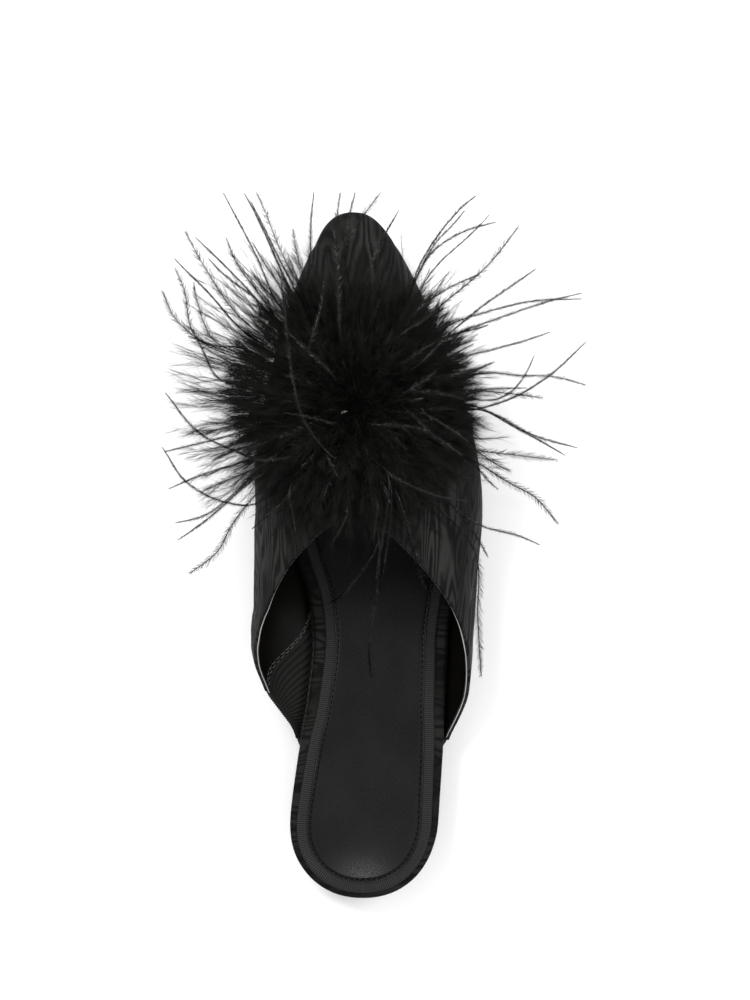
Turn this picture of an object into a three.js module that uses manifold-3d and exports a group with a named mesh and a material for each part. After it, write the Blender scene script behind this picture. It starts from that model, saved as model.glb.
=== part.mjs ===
// A right-foot flat mule: a silk upper with a round-pointed toe, a wrapped footbed on a thin sole
// with a low heel, an elastic gore on the inner side and a feather pompom on the vamp.
// Millimetres, +Z up, toe towards +Y, the inner (big toe) side towards -X. The origin is on the
// ground under the middle of the heel.
import * as THREE from "three";
import { mergeVertices } from "three/addons/utils/BufferGeometryUtils.js";
import Module from "manifold-3d";

const wasm = await Module();
wasm.setup();

// Overall sizes
const LENGTH = 260;
const HEEL_CENTRE = 30; // from the back of the heel to the origin
const GAP = 0.3; // between neighbouring pieces

// Footbed outline
const HEEL_WIDTH = 56.4;
const WAIST_WIDTH = 50.5;
const BALL_WIDTH = 74;
const HEEL_SHIFT = 1.6; // how far the heel's back lies towards the inner side
const ARCH_SHIFT = 5.4; // how far the waist's middle lies towards the outer side
const TOE_SHIFT = 5.3; // how far the toe's tip lies towards the inner side
const HEEL_ROUND = 31; // length of the heel's round end
const TOE_ROUND = 12.5; // length of the toe's round end

// Bottom
const HEEL_LENGTH = 50;
const LIFT_THICKNESS = 3;
const HEEL_HEIGHT = 10; // ground to the underside of the sole at the heel
const HEEL_TAPER = 1.6; // how far the heel's foot is set in from its top
const SOLE_THICKNESS = 3;
const SOLE_MARGIN = 2.6; // sole edge outside the footbed, under the upper
const HEEL_SEAT_INSET = 0.8; // sole edge inside the footbed, at the heel
const WAIST_START = 52;
const BALL_START = 148; // the sole touches the ground from here
const TOE_BREAK = 196; // to here, and then rises to the toe
const TOE_SPRING = 7;

// Footbed and what lies on it
const FOOTBED_THICKNESS = 5;
const FOOTBED_EDGE_RADIUS = 1.6;
const HEEL_CUP = 1.4; // how far the footbed's edge rises round the heel
const HEEL_RIM = 2.4; // wrapped edge that shows outside the ribbon, at the back of the heel
const WAIST_RIM = 4.5; // and from the gore's front on
const RIBBON_WIDTH = 4.2;
const RIBBON_THICKNESS = 0.6;
const SOCK_THICKNESS = 1.1;
const SOCK_EDGE_RADIUS = 0.5;

// Upper
const WALL = 2; // silk, stiffener and lining together
const TOE_OVERHANG = 5.3; // upper's outline outside the footbed, round the forefoot
const INNER_FLARE = 24; // and at the waist, where the wings stand out
const OUTER_FLARE = 9.5;
const INSTEP_HEIGHT = 54; // sole to the top of the vamp, at the throat
const BULGE_HEIGHT = 17; // sole to the widest line of the upper, at the ball
const RIDGE_SHIFT = 5; // how far the vamp's ridge lies towards the inner side
const THROAT = 144; // from the back of the heel to the middle of the topline
const WING_END = 60; // to the back end of the wings
const GORE_TOP = 79; // to the top corner of the gore
const GORE_FRONT = 110; // to its front corner at the sole
const GORE_THICKNESS = 1.1;
const GORE_DEPTH = 0.5; // how far the gore lies below the silk
const BINDING_RADIUS = 0.5;
const BINDING_DEPTH = 1.4; // from the silk in to the binding's middle

// Pompom
const POMPOM_STATION = 182;
const POMPOM_SHIFT = 5; // towards the inner side
const CORE_LENGTH = 56;
const CORE_WIDTH = 60;
const CORE_HEIGHT = 20; // above the vamp's ridge
const LOCK_REACH = 52; // seen from above, from the pompom's middle
const LOCK_HEIGHT = 34; // tip of the highest lock above the vamp's ridge
const LOCK_THICKNESS = 13;
const PLUME_REACH = 92;
const PLUME_HEIGHT = 38;
const PLUME_THICKNESS = 2.2;
const TIP_THICKNESS = 0.7;

// Share of the length at which a section stands, its width, and its middle towards the outer side
const FOOTBED_SECTIONS = [
  { at: 0, width: HEEL_WIDTH, centre: -HEEL_SHIFT },
  { at: 0.06, width: HEEL_WIDTH, centre: -HEEL_SHIFT },
  { at: 0.11, width: 0.997 * HEEL_WIDTH, centre: -0.68 * HEEL_SHIFT },
  { at: 0.133, width: 0.995 * HEEL_WIDTH, centre: -0.45 * HEEL_SHIFT },
  { at: 0.18, width: 0.982 * HEEL_WIDTH, centre: 0.08 * ARCH_SHIFT },
  { at: 0.228, width: 0.962 * HEEL_WIDTH, centre: 0.32 * ARCH_SHIFT },
  { at: 0.294, width: 1.02 * WAIST_WIDTH, centre: 0.66 * ARCH_SHIFT },
  { at: 0.377, width: WAIST_WIDTH, centre: 0.96 * ARCH_SHIFT },
  { at: 0.436, width: 1.063 * WAIST_WIDTH, centre: ARCH_SHIFT },
  { at: 0.503, width: 0.835 * BALL_WIDTH, centre: 0.8 * ARCH_SHIFT },
  { at: 0.569, width: 0.939 * BALL_WIDTH, centre: 0.57 * ARCH_SHIFT },
  { at: 0.628, width: BALL_WIDTH, centre: 0.16 * ARCH_SHIFT },
  { at: 0.687, width: 0.958 * BALL_WIDTH, centre: -0.04 * TOE_SHIFT },
  { at: 0.746, width: 0.87 * BALL_WIDTH, centre: -0.21 * TOE_SHIFT },
  { at: 0.815, width: 0.72 * BALL_WIDTH, centre: -0.48 * TOE_SHIFT },
  { at: 0.86, width: 0.612 * BALL_WIDTH, centre: -0.6 * TOE_SHIFT },
  { at: 0.903, width: 0.495 * BALL_WIDTH, centre: -0.72 * TOE_SHIFT },
  { at: 0.95, width: 0.338 * BALL_WIDTH, centre: -0.83 * TOE_SHIFT },
  { at: 0.965, width: 0.278 * BALL_WIDTH, centre: -0.86 * TOE_SHIFT },
  { at: 1, width: 0.22 * BALL_WIDTH, centre: -TOE_SHIFT },
];

// Share of the way from the toe's overhang to the waist's flare
const FLARE_SECTIONS = [
  { at: 0, inner: 0.4, outer: 0.36 },
  { at: 0.235, inner: 0.24, outer: 0.65 },
  { at: 0.27, inner: 0.43, outer: 0.73 },
  { at: 0.3, inner: 0.6, outer: 0.83 },
  { at: 0.345, inner: 0.9, outer: 0.955 },
  { at: 0.377, inner: 0.98, outer: 1 },
  { at: 0.407, inner: 0.97, outer: 0.955 },
  { at: 0.436, inner: 0.9, outer: 0.825 },
  { at: 0.47, inner: 0.8, outer: 0.65 },
  { at: 0.503, inner: 0.62, outer: 0.43 },
  { at: 0.569, inner: 0.33, outer: 0.15 },
  { at: 0.628, inner: 0.07, outer: 0.02 },
  { at: 0.687, inner: 0, outer: 0 },
  { at: 1, inner: 0, outer: 0 },
];

// Heights above the sole: the ridge as a share of the instep's, the widest line of the ball's
const HEIGHT_SECTIONS = [
  { at: 0.2, ridge: 1.1, bulge: 0.74 },
  { at: 0.3, ridge: 1.12, bulge: 0.8 },
  { at: 0.385, ridge: 1.12, bulge: 0.94 },
  { at: 0.48, ridge: 1.06, bulge: 1 },
  { at: 0.566, ridge: 1, bulge: 1 },
  { at: 0.628, ridge: 0.9, bulge: 0.92 },
  { at: 0.707, ridge: 0.765, bulge: 0.74 },
  { at: 0.785, ridge: 0.632, bulge: 0.62 },
  { at: 0.864, ridge: 0.508, bulge: 0.53 },
  { at: 0.942, ridge: 0.385, bulge: 0.44 },
  { at: 1, ridge: 0.315, bulge: 0.38 },
];

// The topline in side view, on each side: share of the way forward, and of the height from the
// sole to the throat
const TOPLINE_SECTIONS = [
  { at: -0.3, inner: -0.1, outer: -0.15 },
  { at: 0, inner: 0, outer: 0 },
  { at: 0.12, inner: 0.11, outer: 0.12 },
  { at: 0.23, inner: 0.25, outer: 0.27 },
  { at: 0.34, inner: 0.39, outer: 0.42 },
  { at: 0.45, inner: 0.52, outer: 0.55 },
  { at: 0.57, inner: 0.64, outer: 0.7 },
  { at: 0.75, inner: 0.8, outer: 0.88 },
  { at: 0.88, inner: 0.915, outer: 0.96 },
  { at: 1, inner: 1, outer: 1 },
  { at: 1.4, inner: 1.5, outer: 1.5 },
];

// A smooth function through one column of a table, with no overshoot
function curve(rows, column) {
  const slopes = rows.map((row, i) => {
    if (i === 0 || i === rows.length - 1) return 0;
    const [before, after] = [rows[i - 1], rows[i + 1]];
    const left = (row[column] - before[column]) / (row.at - before.at);
    const right = (after[column] - row[column]) / (after.at - row.at);
    return left * right <= 0 ? 0 : (2 * left * right) / (left + right);
  });
  return (at) => {
    const place = Math.min(Math.max(at, rows[0].at), rows.at(-1).at);
    const i = Math.max(1, rows.findIndex((row) => row.at >= place)) - 1;
    const span = rows[i + 1].at - rows[i].at;
    const t = (place - rows[i].at) / span;
    const [a, b] = [rows[i][column], rows[i + 1][column]];
    return (
      a * (1 + 2 * t) * (1 - t) ** 2 +
      b * (3 - 2 * t) * t ** 2 +
      span * slopes[i] * t * (1 - t) ** 2 -
      span * slopes[i + 1] * t ** 2 * (1 - t)
    );
  };
}

const lerp = THREE.MathUtils.lerp;
const smoothstep = THREE.MathUtils.smoothstep;
const roundEnd = (distance, length, power) =>
  (1 - Math.max(0, 1 - distance / length) ** power) ** (1 / power);

const footbedLength = LENGTH - TOE_OVERHANG;
const footbedWidth = curve(FOOTBED_SECTIONS, "width");
const footbedCentre = curve(FOOTBED_SECTIONS, "centre");
const innerFlare = curve(FLARE_SECTIONS, "inner");
const outerFlare = curve(FLARE_SECTIONS, "outer");
const ridgeShare = curve(HEIGHT_SECTIONS, "ridge");
const bulgeShare = curve(HEIGHT_SECTIONS, "bulge");
const innerRise = curve(TOPLINE_SECTIONS, "inner");
const outerRise = curve(TOPLINE_SECTIONS, "outer");

// The footbed's outline is walked by an angle: 0 at the back of the heel, up the inner side to PI
// at the toe's tip, and back along the outer side. Points are (x, station from the heel's back).
function footbedPoint(angle) {
  const along = (1 - Math.cos(angle)) / 2;
  const station = along * footbedLength;
  const round =
    roundEnd(station, HEEL_ROUND, 2.15) * roundEnd(footbedLength - station, TOE_ROUND, 2.5);
  const side = Math.sin(angle) >= 0 ? -1 : 1;
  const half = (footbedWidth(along) / 2) * round;
  return new THREE.Vector2(footbedCentre(along) + side * half, station);
}

function outline(angle, grow) {
  const step = 0.01;
  const point = footbedPoint(angle);
  const along = footbedPoint(angle + step).sub(footbedPoint(angle - step)).normalize();
  return new THREE.Vector2(point.x - along.y * grow, point.y + along.x * grow);
}

const angleAt = (station) =>
  Math.acos(1 - 2 * THREE.MathUtils.clamp(station / footbedLength, 0, 1));
const otherSide = (angle) => 2 * Math.PI - angle;

// Heights of the bottom
function soleBottom(station) {
  const waist = 1 - smoothstep(station, WAIST_START, BALL_START);
  const toe = Math.max(0, (station - TOE_BREAK) / (LENGTH - TOE_BREAK));
  return HEEL_HEIGHT * waist + TOE_SPRING * toe ** 1.8;
}
const soleTop = (station) => soleBottom(station) + SOLE_THICKNESS;

function footbedTop(x, station) {
  const along = station / footbedLength;
  const across = (x - footbedCentre(along)) / (footbedWidth(along) / 2);
  const cup = HEEL_CUP * across ** 2 * (1 - smoothstep(station, HEEL_LENGTH, BALL_START));
  return soleTop(station) + GAP + FOOTBED_THICKNESS + cup;
}

// One closed geometry from vertices and polygons, its faces turned outwards
function closedGeometry(points, faces) {
  const corners = faces.flatMap((face) =>
    face.slice(2).flatMap((_, i) => [face[0], face[i + 1], face[i + 2]]),
  );
  const positions = corners.flatMap((i) => points[i].toArray());
  let geometry = new THREE.BufferGeometry();
  geometry.setAttribute("position", new THREE.Float32BufferAttribute(positions, 3));
  geometry = mergeVertices(geometry, 1e-3);
  const at = geometry.attributes.position;
  const kept = [];
  let volume = 0;
  const [a, b, c] = [new THREE.Vector3(), new THREE.Vector3(), new THREE.Vector3()];
  for (let i = 0; i < geometry.index.count; i += 3) {
    const [p, q, r] = [0, 1, 2].map((j) => geometry.index.getX(i + j));
    if (p === q || q === r || r === p) continue;
    kept.push(p, q, r);
    volume += a.fromBufferAttribute(at, p).dot(
      b.fromBufferAttribute(at, q).cross(c.fromBufferAttribute(at, r)),
    );
  }
  geometry.setIndex(volume < 0 ? kept.reverse() : kept);
  return geometry;
}

// A surface mesh of rows and columns of points, added to a list of faces
function gridFaces(rows, columns, index) {
  const faces = [];
  for (let i = 0; i < rows; i++)
    for (let j = 0; j < columns; j++)
      faces.push([index(i, j), index(i + 1, j), index(i + 1, j + 1), index(i, j + 1)]);
  return faces;
}

const SLAB_ROWS = 34;

// A flat piece of the bottom. Each ring of its side has a grow outside the footbed's outline and a
// height as a function of x and station; the first ring is its lower face and the last its upper.
function slab({ rings, end = footbedLength, columns = 4 }) {
  const last = angleAt(end);
  const angles = Array.from({ length: SLAB_ROWS + 1 }, (_, i) => (last * i) / SLAB_ROWS);
  const points = [];
  const place = ({ x, y }, height) =>
    points.push(new THREE.Vector3(x, y - HEEL_CENTRE, height(x, y))) - 1;
  const sides = rings.map(({ grow, height }) => {
    const growAt = typeof grow === "function" ? grow : () => grow;
    const ends = angles.map((angle) => {
      const inner = outline(angle, growAt(angle));
      const outer = outline(otherSide(angle), growAt(angle));
      return [inner, outer];
    });
    return { ends, height, ids: ends.map((pair) => pair.map((p) => place(p, height))) };
  });
  const faces = [];
  for (let k = 0; k + 1 < sides.length; k++)
    for (let i = 0; i < SLAB_ROWS; i++) {
      const [low, high] = [sides[k].ids, sides[k + 1].ids];
      faces.push([low[i + 1][0], low[i][0], high[i][0], high[i + 1][0]]);
      faces.push([low[i][1], low[i + 1][1], high[i + 1][1], high[i][1]]);
    }
  const caps = [sides[0], sides.at(-1)].map(({ ends, height, ids }) =>
    ends.map(([inner, outer], i) =>
      Array.from({ length: columns + 1 }, (_, j) => {
        if (j === 0) return ids[i][0];
        if (j === columns) return ids[i][1];
        return place(inner.clone().lerp(outer, j / columns), height);
      }),
    ),
  );
  faces.push(...gridFaces(SLAB_ROWS, columns, (i, j) => caps[0][i][j]));
  faces.push(...gridFaces(SLAB_ROWS, columns, (i, j) => caps[1][i][columns - j]));
  // The straight wall where the piece stops short of the toe
  const wall = [
    ...caps[0].at(-1),
    ...sides.slice(1, -1).map(({ ids }) => ids.at(-1)[1]),
    ...caps[1].at(-1).slice().reverse(),
    ...sides.slice(1, -1).map(({ ids }) => ids.at(-1)[0]).reverse(),
  ];
  faces.push(wall.reverse());
  return closedGeometry(points, faces);
}

function soleGrow(angle) {
  const station = footbedPoint(angle).y;
  const forward = smoothstep(station, WING_END - 2 * SOLE_MARGIN, WING_END + SOLE_MARGIN);
  return lerp(-HEEL_SEAT_INSET, SOLE_MARGIN, forward);
}

function makeSole() {
  const edge = SOLE_THICKNESS / 4;
  return slab({
    rings: [
      { grow: (angle) => soleGrow(angle) - edge, height: (x, s) => soleBottom(s) },
      { grow: soleGrow, height: (x, s) => soleBottom(s) + edge },
      { grow: soleGrow, height: (x, s) => soleTop(s) },
    ],
    columns: 2,
  });
}

function makeHeelPart(bottom, top) {
  const inset = (z) => HEEL_SEAT_INSET + HEEL_TAPER * (1 - z / HEEL_HEIGHT);
  return slab({
    rings: [
      { grow: -inset(bottom), height: () => bottom },
      { grow: -inset(top), height: () => top },
    ],
    end: HEEL_LENGTH,
    columns: 2,
  });
}

function makeFootbed() {
  const radius = FOOTBED_EDGE_RADIUS;
  const edge = [0, 30, 60, 90].map((degrees) => {
    const turn = THREE.MathUtils.degToRad(degrees);
    const drop = radius * (1 - Math.sin(turn));
    return {
      grow: -radius * (1 - Math.cos(turn)),
      height: (x, s) => footbedTop(x, s) - drop,
    };
  });
  return slab({
    rings: [
      { grow: -radius / 2, height: (x, s) => soleTop(s) + GAP },
      { grow: 0, height: (x, s) => soleTop(s) + GAP + radius / 2 },
      ...edge,
    ],
    columns: 6,
  });
}

const rimWidth = (angle) =>
  lerp(HEEL_RIM, WAIST_RIM, smoothstep(footbedPoint(angle).y, 0, GORE_FRONT));
const sockInset = (angle) => rimWidth(angle) + RIBBON_WIDTH + GAP;

function makeSock() {
  const base = (x, s) => footbedTop(x, s) + GAP;
  const rise = (part) => (x, s) => base(x, s) + part * SOCK_THICKNESS;
  return slab({
    rings: [
      { grow: (angle) => -sockInset(angle), height: base },
      { grow: (angle) => -sockInset(angle), height: rise(0.55) },
      { grow: (angle) => -sockInset(angle) - SOCK_EDGE_RADIUS, height: rise(1) },
    ],
    columns: 6,
  });
}

function makeRibbon() {
  const steps = 72;
  const loops = [
    { inwards: 0, up: 0 },
    { inwards: RIBBON_WIDTH, up: 0 },
    { inwards: RIBBON_WIDTH, up: RIBBON_THICKNESS },
    { inwards: 0, up: RIBBON_THICKNESS },
  ];
  const points = [];
  for (let i = 0; i < steps; i++)
    for (const { inwards, up } of loops) {
      const angle = (2 * Math.PI * i) / steps;
      const { x, y } = outline(angle, -rimWidth(angle) - inwards);
      points.push(new THREE.Vector3(x, y - HEEL_CENTRE, footbedTop(x, y) + GAP + up));
    }
  const count = loops.length;
  const faces = gridFaces(steps, count, (i, j) => (i % steps) * count + (j % count));
  return closedGeometry(points, faces);
}

// The upper's surface. Along the footbed by angle (0 to PI), round the foot by a share: 0 at the
// inner side's sole, 0.5 on the ridge, 1 at the outer side's sole. Depth is from the silk inwards.
const BULGE_SHARE = 0.16; // the share at which the surface is widest
const SECTION_POWER = 1.86;

function upperPoint(angle, round, depth) {
  const inner = round <= 0.5;
  const girth = inner ? round : 1 - round;
  const walked = inner ? angle : otherSide(angle);
  const along = (1 - Math.cos(angle)) / 2;
  const flare = inner
    ? lerp(TOE_OVERHANG, INNER_FLARE, innerFlare(along))
    : lerp(TOE_OVERHANG, OUTER_FLARE, outerFlare(along));
  const overhang = flare - depth;
  const foot = outline(walked, GAP + WALL - depth);
  const wide = outline(walked, overhang);
  const wideOther = outline(otherSide(walked), overhang);
  const nose = roundEnd(footbedLength - along * footbedLength, 2 * TOE_ROUND, 2.5);
  const bulge = soleTop(wide.y) + BULGE_HEIGHT * bulgeShare(along);
  const ridge = soleTop(wide.y) + INSTEP_HEIGHT * ridgeShare(along);
  const ridgeStation = (wide.y + wideOther.y) / 2;
  const ridgeX = lerp(-TOE_SHIFT, -RIDGE_SHIFT, nose);
  if (girth <= BULGE_SHARE) {
    const t = girth / BULGE_SHARE;
    const base = soleTop(foot.y) + GAP;
    const rise = bulge - base;
    const weights = [(1 - t) ** 3, 3 * t * (1 - t) ** 2, 3 * t ** 2 * (1 - t), t ** 3];
    const mix = (...values) => values.reduce((sum, v, i) => sum + v * weights[i], 0);
    return new THREE.Vector3(
      mix(foot.x, lerp(foot.x, wide.x, 0.45), wide.x, wide.x),
      mix(foot.y, lerp(foot.y, wide.y, 0.45), wide.y, wide.y) - HEEL_CENTRE,
      mix(base, base + 0.25 * rise, bulge - 0.45 * rise, bulge),
    );
  }
  const turn = ((girth - BULGE_SHARE) / (0.5 - BULGE_SHARE)) * (Math.PI / 2);
  const out = Math.max(0, Math.cos(turn)) ** (2 / SECTION_POWER);
  const up = Math.sin(turn) ** (2 / SECTION_POWER);
  return new THREE.Vector3(
    lerp(ridgeX, wide.x, out),
    lerp(ridgeStation, wide.y, out) - HEEL_CENTRE,
    lerp(bulge, lerp(bulge, ridge, nose) - depth * nose, up),
  );
}

// Height of the topline on either side
function toplineHeight(station, inner) {
  const forward = (station - WING_END) / (THROAT - WING_END);
  const low = soleTop(WING_END) + GAP;
  const high = upperPoint(angleAt(THROAT), 0.5, 0).z;
  return lerp(low, high, (inner ? innerRise : outerRise)(forward));
}

function rootBetween(low, high, above) {
  let [a, b] = [low, high];
  for (let i = 0; i < 40; i++) {
    const middle = (a + b) / 2;
    if (above(middle)) b = middle;
    else a = middle;
  }
  return (a + b) / 2;
}

// The angle at which the topline crosses the surface, for a share round the foot
function toplineAngle(round) {
  if (round === 0 || round === 1) return angleAt(WING_END);
  return rootBetween(angleAt(WING_END - 8), angleAt(THROAT + 12), (angle) => {
    const { y, z } = upperPoint(angle, round, 0);
    return z < toplineHeight(y + HEEL_CENTRE, round < 0.5);
  });
}

const goreTopShare = rootBetween(0.01, BULGE_SHARE, (round) => {
  const point = upperPoint(toplineAngle(round), round, 0);
  return point.y + HEEL_CENTRE > GORE_TOP;
});

// The power keeps the seam straight as it is seen from above
function seamAngle(round) {
  const top = toplineAngle(goreTopShare);
  return lerp(angleAt(GORE_FRONT), top, Math.max(0, round / goreTopShare) ** 0.6);
}

const upperStart = (round) => (round < goreTopShare ? seamAngle(round) : toplineAngle(round));

// A curved wall between two depths, from one angle to another at each share round the foot
function wallGeometry({ rounds, start, end, outer, inner, steps, toTip = false }) {
  const points = [];
  const layers = [outer, inner].map((depth) =>
    rounds.map((round) => {
      const [from, to] = [start(round), end(round)];
      return Array.from({ length: steps + 1 }, (_, j) =>
        points.push(upperPoint(lerp(from, to, j / steps), round, depth)) - 1,
      );
    }),
  );
  const [out, back] = layers;
  const rows = rounds.length - 1;
  const faces = [
    ...gridFaces(rows, steps, (i, j) => out[i][j]),
    ...gridFaces(rows, steps, (i, j) => back[i][steps - j]),
  ];
  for (let i = 0; i < rows; i++) {
    faces.push([out[i + 1][0], out[i][0], back[i][0], back[i + 1][0]]);
    if (toTip) continue;
    faces.push([out[i][steps], out[i + 1][steps], back[i + 1][steps], back[i][steps]]);
  }
  for (let j = 0; j < steps; j++) {
    faces.push([out[0][j], out[0][j + 1], back[0][j + 1], back[0][j]]);
    faces.push([out[rows][j + 1], out[rows][j], back[rows][j], back[rows][j + 1]]);
  }
  return closedGeometry(points, faces);
}

function upperShares() {
  const spread = (from, to, count) =>
    Array.from({ length: count }, (_, i) => lerp(from, to, i / count));
  const half = [
    ...spread(0, goreTopShare, 4),
    ...spread(goreTopShare, BULGE_SHARE, 2),
    ...spread(BULGE_SHARE, 0.5, 9),
  ];
  return [...half, 0.5, ...half.map((share) => 1 - share).reverse()];
}

function makeUpper() {
  return wallGeometry({
    rounds: upperShares(),
    start: upperStart,
    end: () => Math.PI,
    outer: 0,
    inner: WALL,
    steps: 20,
    toTip: true,
  });
}

function makeGore() {
  const rows = 7;
  const tip = 0.96;
  const seamGap = 0.004;
  return wallGeometry({
    rounds: Array.from({ length: rows + 1 }, (_, i) => (tip * goreTopShare * i) / rows),
    start: toplineAngle,
    end: (round) => seamAngle(round) - seamGap,
    outer: GORE_DEPTH,
    inner: GORE_DEPTH + GORE_THICKNESS,
    steps: 10,
  });
}

// The glossy bound edge, from the gore's top round the throat to the outer wing's end. It lies off
// the cut edge square to it, in the surface.
function makeBinding() {
  const rounds = upperShares().filter((round) => round >= goreTopShare && round < 1);
  const at = (round, depth) => upperPoint(toplineAngle(round), round, depth);
  const path = rounds.map((round) => {
    const ahead = at(round + 0.001, 0).sub(at(round - 0.001, 0));
    const inwards = at(round, WALL).sub(at(round, 0));
    const back = inwards.cross(ahead).normalize();
    return at(round, BINDING_DEPTH).addScaledVector(back, GAP + BINDING_RADIUS);
  });
  return strand({ path, radii: path.map(() => BINDING_RADIUS), sides: 6 });
}

// Solids for joining and cutting
function solidOf(geometry) {
  return new wasm.Manifold(
    new wasm.Mesh({
      numProp: 3,
      vertProperties: new Float32Array(geometry.attributes.position.array),
      triVerts: new Uint32Array(geometry.index.array),
    }),
  );
}

function geometryOf(solid) {
  const mesh = solid.getMesh();
  const geometry = new THREE.BufferGeometry();
  geometry.setAttribute("position", new THREE.BufferAttribute(mesh.vertProperties, 3));
  geometry.setIndex(new THREE.BufferAttribute(mesh.triVerts, 1));
  return geometry;
}

// The space under the vamp, which the pompom stays clear of: the upper's surface, grown by the gap,
// carried back past the throat and closed at the sole
function vampFilling() {
  const rounds = upperShares();
  const steps = 18;
  const start = angleAt(WING_END + 20);
  const points = [];
  const rows = rounds.map((round) =>
    Array.from({ length: steps + 1 }, (_, j) =>
      points.push(upperPoint(lerp(start, Math.PI, j / steps), round, -GAP)) - 1,
    ),
  );
  const last = rounds.length - 1;
  const faces = gridFaces(last, steps, (i, j) => rows[i][j]);
  for (let j = 0; j < steps; j++)
    faces.push([rows[last][j + 1], rows[last][j], rows[0][j], rows[0][j + 1]]);
  faces.push(rows.map((row) => row[0]).reverse());
  return closedGeometry(points, faces);
}

// The ridge line under the pompom's middle
const pompomSeat = upperPoint(angleAt(POMPOM_STATION), 0.5, 0);
const pompomCentre = new THREE.Vector3(-POMPOM_SHIFT, pompomSeat.y, pompomSeat.z);

// Top of the vamp at a place seen from above
function vampHeight(x, y) {
  const angle = angleAt(THREE.MathUtils.clamp(y + HEEL_CENTRE, WING_END, LENGTH - TOE_ROUND));
  const towardsInner = x < upperPoint(angle, 0.5, 0).x;
  const share = (girth) => (towardsInner ? girth : 1 - girth);
  const outside = (girth) => {
    const reach = upperPoint(angle, share(girth), 0).x;
    return towardsInner ? reach > x : reach < x;
  };
  return upperPoint(angle, share(rootBetween(BULGE_SHARE, 0.5, outside)), 0).z;
}

// A tapering, bending strand as a closed tube
function strand({ path, radii, sides }) {
  const points = [];
  const normal = new THREE.Vector3();
  const flat = new THREE.Vector3();
  path.forEach((point, i) => {
    const before = path[Math.max(0, i - 1)];
    const after = path[Math.min(path.length - 1, i + 1)];
    const along = after.clone().sub(before).normalize();
    flat.set(-along.y, along.x, 0).normalize();
    normal.crossVectors(flat, along).normalize();
    for (let k = 0; k < sides; k++) {
      const turn = (2 * Math.PI * k) / sides;
      const corner = point.clone();
      corner.addScaledVector(flat, radii[i] * Math.cos(turn));
      corner.addScaledVector(normal, radii[i] * Math.sin(turn));
      points.push(corner);
    }
  });
  const rings = path.length - 1;
  const faces = gridFaces(rings, sides, (i, j) => i * sides + (j % sides));
  const ring = (i) => Array.from({ length: sides }, (_, k) => i * sides + k);
  faces.push(ring(0), ring(rings).reverse());
  return closedGeometry(points, faces);
}

// A strand from the pompom's middle: heading anticlockwise from +X, reach seen from above, tip
// height above the seat, and a sideways bend; it bows upwards and stays clear of the vamp
function spray({ heading, reach, height, bend }, { thickness, sides, steps }) {
  const turn = THREE.MathUtils.degToRad(heading);
  const out = new THREE.Vector3(Math.cos(turn), Math.sin(turn), 0);
  const across = new THREE.Vector3(-out.y, out.x, 0);
  const path = [];
  const radii = [];
  for (let i = 0; i <= steps; i++) {
    const t = i / steps;
    const radius = lerp(thickness, TIP_THICKNESS, t) / 2;
    const point = pompomCentre.clone().addScaledVector(out, reach * lerp(0.12, 1, t));
    point.addScaledVector(across, 4 * bend * t * (1 - t));
    point.z += height * Math.sin((t * Math.PI) / 2) + 2;
    point.z = Math.max(point.z, vampHeight(point.x, point.y) + GAP + radius);
    path.push(point);
    radii.push(radius);
  }
  return strand({ path, radii, sides });
}

// Marabou locks stand round the core in tiers; sizes are shares of the locks' own
const LOCK_TIERS = [
  { count: 16, reach: 1, height: 0, offset: 4, thickness: 1 },
  { count: 13, reach: 0.9, height: 0.41, offset: 14, thickness: 1 },
  { count: 10, reach: 0.71, height: 0.76, offset: 7, thickness: 0.92 },
  { count: 5, reach: 0.4, height: 1, offset: 20, thickness: 0.85 },
];

// The long ostrich plumes that show singly, as seen in the photograph from above; reach, height
// and sideways bend are shares of the plumes' own reach and height
const PLUMES = [
  { heading: 4, reach: 0.78, height: 0.58, bend: -0.03 },
  { heading: 17, reach: 0.96, height: 0.89, bend: 0.05 },
  { heading: 24, reach: 0.84, height: 0.68, bend: -0.02 },
  { heading: 29, reach: 1, height: 1, bend: 0.04 },
  { heading: 38, reach: 0.93, height: 0.79, bend: -0.02 },
  { heading: 47, reach: 0.97, height: 0.63, bend: 0.03 },
  { heading: 58, reach: 0.98, height: 0.89, bend: 0.02 },
  { heading: 74, reach: 0.83, height: 0.79, bend: -0.02 },
  { heading: 84, reach: 0.96, height: 0.53, bend: 0.03 },
  { heading: 97, reach: 0.93, height: 0.89, bend: 0.02 },
  { heading: 110, reach: 0.96, height: 0.74, bend: -0.02 },
  { heading: 118, reach: 0.98, height: 0.95, bend: 0.02 },
  { heading: 125, reach: 1, height: 0.58, bend: -0.03 },
  { heading: 132, reach: 0.96, height: 0.84, bend: 0.02 },
  { heading: 139, reach: 0.93, height: 0.68, bend: -0.02 },
  { heading: 146, reach: 0.92, height: 0.95, bend: 0.03 },
  { heading: 152, reach: 0.87, height: 0.53, bend: 0.07 },
  { heading: 176, reach: 0.74, height: 0.63, bend: -0.07 },
  { heading: 191, reach: 0.78, height: 0.21, bend: 0.04 },
  { heading: 203, reach: 0.8, height: 0.42, bend: 0.03 },
  { heading: 213, reach: 0.85, height: 0.32, bend: -0.03 },
  { heading: 226, reach: 0.91, height: 0.16, bend: 0.04 },
  { heading: 262, reach: 0.72, height: 0.42, bend: 0.03 },
  { heading: 289, reach: 0.78, height: 0.26, bend: -0.04 },
  { heading: 308, reach: 0.72, height: 0.37, bend: 0.03 },
  { heading: 331, reach: 0.96, height: 0.21, bend: 0.09 },
  { heading: 345, reach: 0.89, height: 0.47, bend: -0.03 },
  { heading: 353, reach: 0.93, height: 0.68, bend: 0.04 },
];

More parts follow.
